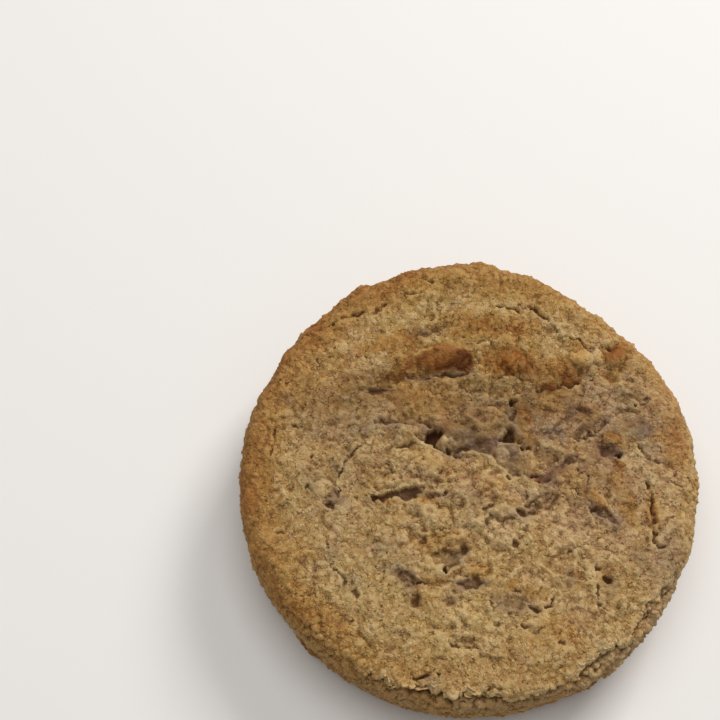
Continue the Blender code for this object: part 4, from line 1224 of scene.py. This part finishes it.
def toast_group():
    """Dough that browns as Toast goes from 0 to 1. Each step tints what is there, so that
    the grain still shows through the crust."""
    tree, given, out = new_tree(
        "toasting", SHADER, [("Dough", "Color", DOUGH_TAN), ("Toast", "Float", 0.0)],
        [("Colour", "Color")])
    colour, low = given["Dough"], 0.0
    for (_, lighter), (level, darker) in zip(TOAST_STEPS, TOAST_STEPS[1:]):
        tint = [dark / light for dark, light in zip(darker, lighter)]
        share = stepped(tree, given["Toast"], low, level)
        colour = mixed(tree, share, colour, tint, "MULTIPLY")
        low = level - TOAST_OVERLAP
    put(tree, colour, out["Colour"])
    return tree


# %% Moist crumb and painted shade
MOIST_AND_SHADE_TINT, MAUVE_AND_SHADE_TINT = (0.46, 0.46, 0.62, 1.0), (0.64, 0.60, 0.76, 1.0)
# Dark brown painted into pits, cracks, pores, creases and hollows where shade falls.
PIT_SHADE_BROWN = linear(80, 42, 8)


def moist_and_shade_group():
    """Greyer crumb where it is moist and redder where it is mauve, both partly painted shade, with
    painted dark brown shade in deep places.
    """
    tree, given, out = new_tree(
        "moist_and_shaded_crumb", SHADER, [("Crumb", "Color", DOUGH_TAN), ("Moist", "Float", 0.0),
                                ("Mauve", "Float", 0.0), ("Depth", "Float", 0.0)],
        [("Colour", "Color")])
    colour = mixed(tree, given["Moist"], given["Crumb"], MOIST_AND_SHADE_TINT, "MULTIPLY")
    colour = mixed(tree, given["Mauve"], colour, MAUVE_AND_SHADE_TINT, "MULTIPLY")
    put(tree, mixed(tree, given["Depth"], colour, PIT_SHADE_BROWN), out["Colour"])
    return tree


GRAIN, CLUMP, TOAST, MOIST_AND_SHADE_GROUP = grain_group(), clump_group(), toast_group(), moist_and_shade_group()
print("shader groups", [group.name for group in (GRAIN, CLUMP, TOAST, MOIST_AND_SHADE_GROUP)])

# %% Tints that follow a mark: its name, where the tint starts, where it is full, share, colour
HUE_TINTS = [("hue", 0.0, 0.8, 0.9, DOUGH_ROSY), ("hue", 0.0, -0.8, 0.9, DOUGH_OLIVE)]
# Painted highlight on crests and raised places, and painted shade in low places.
RELIEF_SHADING = [("hollow", -0.01, -0.09, 0.45, PALE_DOUGH_AND_HIGHLIGHT), ("basin", 0.0, -0.3, 0.25, PALE_DOUGH_AND_HIGHLIGHT),
                ("basin", 0.0, 0.3, 0.25, DARK_DOUGH_AND_SHADE)]

# %% Flecks in the order in which they lie: group, output, limits if any, share, colour
FLECKS = [
    ("grain", "Tone", 0.4, 0.0, 0.4, DOUGH_RUSTY), ("grain", "Tone", 0.75, 1.0, 0.4, DOUGH_CREAM),
    ("fine", "Tone", 0.5, 0.0, 0.3, DOUGH_WARM), ("fine", "Tone", 0.6, 1.0, 0.4, DOUGH_GREEN),
    # The glints are partly pale grains and partly painted glints of sugar.
    ("clump", "Tone", 0.5, 1.0, 0.35, DOUGH_CREAM), ("grain", "Light", 0.9, PALE_DOUGH_AND_HIGHLIGHT),
    ("fine", "Light", 0.85, PALE_DOUGH_AND_HIGHLIGHT), ("fine", "Dark", 0.7, DARK_DOUGH_AND_SHADE)]
DARK_FLECKS = [("grain", "Dark", 0.7, DARK_DOUGH_AND_SHADE), ("grain", "Cracks", 0.9, DARK_DOUGH_AND_SHADE),
               ("clump", "Cracks", 0.6, DARK_DOUGH_AND_SHADE)]

# %% A baked material
CLUMP_SIZE, SMOOTH_PLAIN, PALE_SHARE = 0.0011, 0.8, 0.8
UNEVEN_SCALE, UNEVEN_TOAST, MAUVE_LIGHTER, CREASE_SHADE_SHARE = 900.0, 0.3, 0.6, 0.4
PIT_SHADE_STEP, GAP_SHADE_STEP, GLOSS_STEP = (0.5, 2.0, 0.0, 0.97), (0.04, 0.15, 0.0, 0.5), (-0.1, 0.1)
DULL, SHINY = 0.86, 0.42


def baked_material(name, grain_size, grain_height, paler=0.0):
    """Baked crumb that reads the painted marks of its mesh."""
    material = bpy.data.materials.new(name)
    material.use_nodes = True
    tree = material.node_tree
    place = add(tree, "ShaderNodeTexCoord")["Object"]
    groups = {"grain": use_group(tree, GRAIN, {"Place": place, "Grain size": grain_size}),
              "fine": use_group(tree, GRAIN, {"Place": place, "Grain size": 0.5 * grain_size}),
              "clump": use_group(tree, CLUMP, {"Place": place, "Clump size": CLUMP_SIZE})}
    rough = minus(tree, 1.0, times(tree, mark(tree, "smooth"), SMOOTH_PLAIN))

    def flecked(dough, flecks):
        for group, output, *limits, share, colour in flecks:
            value = groups[group][output]
            if limits:
                value = stepped(tree, value, *limits)
            dough = mixed(tree, times(tree, times(tree, value, share), rough), dough, colour)
        return dough

    def tinted(dough, tints):
        for name, start, full, share, colour in tints:
            follows = stepped(tree, mark(tree, name), start, full, 0.0, share)
            dough = mixed(tree, follows, dough, colour)
        return dough

    dough = flecked(tinted(DOUGH_TAN, HUE_TINTS), FLECKS)
    if paler:
        dough = mixed(tree, paler, dough, PALE_DOUGH_AND_HIGHLIGHT)
    dough = mixed(tree, times(tree, mark(tree, "pale"), PALE_SHARE), dough, PALE_DOUGH_AND_HIGHLIGHT)
    # Dark flecks, then the painted highlight on crests and the painted shade in low places.
    dough = tinted(flecked(dough, DARK_FLECKS), RELIEF_SHADING)
    uneven = minus(tree, noise_at(tree, place, UNEVEN_SCALE, 3.0, 0.6), 0.5)
    toast = worked(tree, "ADD", mark(tree, "toast"), times(tree, uneven, UNEVEN_TOAST))
    crumb = use_group(tree, TOAST, {"Dough": dough, "Toast": toast})["Colour"]
    # Painted shade: deep cuts, creases and hollows are painted dark brown, a little less where the
    # crumb is mauve.
    lighter = minus(tree, 1.0, times(tree, mark(tree, "mauve_and_shade"), MAUVE_LIGHTER))
    depth = times(tree, stepped(tree, mark(tree, "cut"), *PIT_SHADE_STEP), lighter)
    for other in (times(tree, mark(tree, "crease"), CREASE_SHADE_SHARE),
                  stepped(tree, mark(tree, "hollow"), *GAP_SHADE_STEP)):
        depth = worked(tree, "MAXIMUM", depth, other)
    colour = use_group(tree, MOIST_AND_SHADE_GROUP, {"Crumb": crumb, "Moist": mark(tree, "moist_and_shade"),
                                           "Mauve": mark(tree, "mauve_and_shade"), "Depth": depth})["Colour"]
    gloss = times(tree, mark(tree, "gloss"), stepped(tree, uneven, *GLOSS_STEP))
    bump = add(tree, "ShaderNodeBump", {"Strength": 0.5, "Distance": grain_height,
                                        "Height": groups["grain"]["Height"]})[0]
    give(tree, {
        "Base Color": colour, "Roughness": stepped(tree, gloss, 0.0, 1.0, DULL, SHINY),
        "Specular IOR Level": 0.35, "Subsurface Weight": 0.2, "Subsurface Radius": (1.0, 0.9, 0.8),
        "Subsurface Scale": 0.0004, "Normal": bump}, tree.nodes["Principled BSDF"].inputs)
    return material


CRUST_GRAIN, CRUST_BUMP = 0.00042, 0.0005
crust_mesh.materials.clear()
crust_mesh.materials.append(baked_material("baked_crust", CRUST_GRAIN, CRUST_BUMP))
print("materials", [material.name for material in crust_mesh.materials])

# %% [markdown]
# ## Loose crumbs and flakes, scattered by Geometry Nodes
#
# Crumbs repeat by the thousand and follow the surface, so one tree makes them: it spreads
# points where the crust is crumby, puts a rough grain on each, half sunk, and hands the
# crust's painted marks on to the grain. A flake is a grain pressed flat and tilted. Few
# faces a grain keep the whole light.

# %% A random value and a rough grain
GRAIN_SHAPES, GRAIN_STEP, GRAIN_BUMPS = 5, (7.0, 3.0, 1.0), 1.7


def random_value(tree, kind, low, high, seed):
    """A random number, count or vector for each point."""
    first = {"FLOAT": 2, "FLOAT_VECTOR": 0, "INT": 4}[kind]
    outputs = add(tree, "FunctionNodeRandomValue", {first: low, first + 1: high, "Seed": seed},
                  data_type=kind)
    return next(out for out in outputs if out.enabled)


def rough_grain(tree, number, fineness, roughness):
    """One uneven grain about one unit across."""
    ball = add(tree, "GeometryNodeMeshIcoSphere", {"Radius": 0.5, "Subdivisions": fineness})
    place = add(tree, "GeometryNodeInputPosition")[0]
    shift = [number * step for step in GRAIN_STEP]
    bumps = noise_at(tree, add(tree, "ShaderNodeVectorMath", {0: place, 1: shift})[0],
                     GRAIN_BUMPS, 1.0)
    size = worked(tree, "ADD", 1.0, times(tree, roughness, minus(tree, bumps, 0.5)))
    grown = add(tree, "ShaderNodeVectorMath", {0: place, "Scale": size}, operation="SCALE")[0]
    return add(tree, "GeometryNodeSetPosition", {"Geometry": ball["Mesh"], "Position": grown})[0]


# %% Build the scattering tree
SHAPE_SEED, TURN_SEED, WIDTH_SEED, NARROWEST = 5, 7, 9, 0.6


def scattering_tree():
    """Half-sunk grains over a crust. Sizes are metres, density is grains a square metre."""
    tree, given, out = new_tree("scattered_grains", GEOMETRY, [
        ("Geometry", "Geometry"), ("Where", "String", "crumby"), ("Coat", "Material"),
        ("Density", "Float", 1e6), ("Smallest", "Float", 0.0003), ("Largest", "Float", 0.0008),
        ("Sink", "Float", 0.15), ("Flatness", "Float", 0.75), ("Roughness", "Float", 2.2),
        ("Tilt", "Float", 0.5), ("Fineness", "Int", 1), ("Seed", "Int", 3)],
        [("Geometry", "Geometry")])
    where = add(tree, "GeometryNodeInputNamedAttribute", {"Name": given["Where"]},
                data_type="FLOAT")[0]
    spread = add(tree, "GeometryNodeDistributePointsOnFaces", {
        "Mesh": given["Geometry"], "Density": times(tree, given["Density"], where),
        "Seed": given["Seed"]})
    lot = random_value(tree, "FLOAT", 0.0, 1.0, given["Seed"])
    extra = times(tree, minus(tree, given["Largest"], given["Smallest"]),
                  worked(tree, "POWER", lot, 2.0))
    size = worked(tree, "ADD", given["Smallest"], extra)
    depth = times(tree, times(tree, size, given["Sink"]), -1.0)
    down = add(tree, "ShaderNodeVectorMath", {0: spread["Normal"], "Scale": depth},
               operation="SCALE")[0]
    sunk = add(tree, "GeometryNodeSetPosition", {"Geometry": spread["Points"], "Offset": down})[0]
    shapes = tree.nodes.new("GeometryNodeGeometryToInstance")
    for number in range(1, GRAIN_SHAPES + 1):
        shape = rough_grain(tree, number, given["Fineness"], given["Roughness"])
        put(tree, shape, shapes.inputs[0])
    tilt, back = given["Tilt"], times(tree, given["Tilt"], -1.0)
    angles = random_value(tree, "FLOAT_VECTOR", vector_of(tree, back, back),
                          vector_of(tree, tilt, tilt, 2.0 * math.pi), TURN_SEED)
    turned = add(tree, "FunctionNodeRotateRotation", {
        "Rotation": spread["Rotation"],
        "Rotate By": add(tree, "FunctionNodeEulerToRotation", {0: angles})[0]},
        rotation_space="LOCAL")[0]
    narrow = times(tree, size, random_value(tree, "FLOAT", NARROWEST, 1.0, WIDTH_SEED))
    flatter = times(tree, size, given["Flatness"])
    placed = add(tree, "GeometryNodeInstanceOnPoints", {
        "Points": sunk, "Instance": shapes.outputs[0], "Pick Instance": True,
        "Instance Index": random_value(tree, "INT", 0, GRAIN_SHAPES - 1, SHAPE_SEED),
        "Rotation": turned, "Scale": vector_of(tree, size, narrow, flatter)})[0]
    rounded = add(tree, "GeometryNodeSetShadeSmooth", {"Geometry": placed})[0]
    close_tree(tree, rounded, given["Coat"], out)
    return tree


# %% Scatter the crumbs
SCATTERING = scattering_tree()


def scatter(name, coat, smallest, largest, values):
    """One piece of grains spread over a copy of the crust. Sizes are millimetres."""
    piece = new_object(name, crust_mesh.copy())
    spreading = piece.modifiers.new("spreading", "NODES")
    spreading.node_group = SCATTERING
    set_inputs(spreading, {"Coat": coat, "Smallest": smallest * MM, "Largest": largest * MM,
                           **values})
    mesh = settle(piece)
    mesh.calc_loop_triangles()
    print(name, len(mesh.loop_triangles), "triangles")
    return piece


COAT_GRAIN, COAT_BUMP = 0.0003, 0.0002
crumb_coat = baked_material("crumb_coat", COAT_GRAIN, COAT_BUMP, paler=0.3)
flake_coat = baked_material("flake_coat", COAT_GRAIN, COAT_BUMP, paler=0.6)
crumbs = [
    scatter("crumbs_fine", crumb_coat, 0.4, 0.85,
            {"Where": "crumby", "Density": 1.25e6, "Sink": 0.2, "Seed": 3}),
    scatter("crumbs_sandy", crumb_coat, 0.25, 0.5,
            {"Where": "sandy", "Density": 1.2e6, "Sink": 0.15, "Seed": 5}),
    scatter("crumbs_coarse", crumb_coat, 0.8, 1.5,
            {"Where": "crumby", "Density": 0.28e6, "Sink": 0.3, "Fineness": 2, "Seed": 8}),
    scatter("flakes", flake_coat, 0.6, 2.2,
            {"Where": "flaky", "Density": 4.5e6, "Sink": 0.05, "Flatness": 0.08, "Tilt": 0.9,
             "Fineness": 2, "Seed": 12}),
]

# %% [markdown]
# ## Stage
#
# A plain pale floor, a broad soft lamp above, and a second one behind on the right, which
# leaves the front of the side in shade. The camera stands where the photograph was taken.

# %% Lamps
ROOM_TINT, ROOM_LIGHT = (1.0, 0.96, 0.90, 1.0), 0.25
LAMPS = [("lamp_above", (-0.05, 0.10, 0.75), 0.55, 2.35, (1.0, 0.97, 0.93)),
         ("lamp_behind", (0.35, 0.50, 0.50), 0.30, 3.55, (1.0, 0.95, 0.89))]
LIT_POINT = Vector((0, 0, 0.01))
world = bpy.data.worlds.new("studio")
bpy.context.scene.world = world
world.use_nodes = True
give(world.node_tree, {"Color": ROOM_TINT, "Strength": ROOM_LIGHT},
     world.node_tree.nodes["Background"].inputs)
bpy.context.scene.view_settings.view_transform = "Standard"
for name, place, size, energy, tint in LAMPS:
    light = bpy.data.lights.new(name, "AREA")
    light.size, light.energy, light.color = size, energy, tint
    lamp = bpy.data.objects.new(name, light)
    lamp.location = place
    lamp.rotation_euler = (LIT_POINT - lamp.location).to_track_quat("-Z", "Y").to_euler()
    bpy.context.scene.collection.objects.link(lamp)
print("lamps", [lamp[0] for lamp in LAMPS])

# %% Floor
PAPER, PAPER_ROUGHNESS, FLOOR_REACH = (0.90, 0.91, 0.92, 1), 0.9, 2
corners = [(x * FLOOR_REACH, y * FLOOR_REACH, 0) for x, y in ((-1, -1), (1, -1), (1, 1), (-1, 1))]
floor_mesh = bpy.data.meshes.new("floor")
floor_mesh.from_pydata(corners, [], [(0, 1, 2, 3)])
floor = new_object("floor", floor_mesh)
paper = bpy.data.materials.new("pale_paper")
paper.use_nodes = True
give(paper.node_tree, {"Base Color": PAPER, "Roughness": PAPER_ROUGHNESS},
     paper.node_tree.nodes["Principled BSDF"].inputs)
floor_mesh.materials.append(paper)
print("floor", 2 * FLOOR_REACH, "m across")

# %% Camera
CAMERA_PLACE, LENS, SENSOR, NEAREST = (-23.12, -71.3, 230.4), 75.0, 36.0, 0.01
right, up = Vector((0.99956, 0.0, 0.0295)), Vector((-0.0113, 0.9240, 0.3823))
camera = bpy.data.objects.new("camera", bpy.data.cameras.new("camera"))
bpy.context.scene.collection.objects.link(camera)
camera.data.lens, camera.data.sensor_width, camera.data.clip_start = LENS, SENSOR, NEAREST
back = right.cross(up).normalized()
turned = Matrix((right, up, back)).transposed().to_4x4()
camera.matrix_world = Matrix.Translation(Vector(CAMERA_PLACE) * MM) @ turned
bpy.context.scene.camera = camera
print("camera", [round(side, 3) for side in camera.matrix_world.translation], "m")

# %% Hand the pieces over and keep the sizes
for piece in [cookie] + crumbs:
    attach(piece, "root")
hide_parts("cookie")
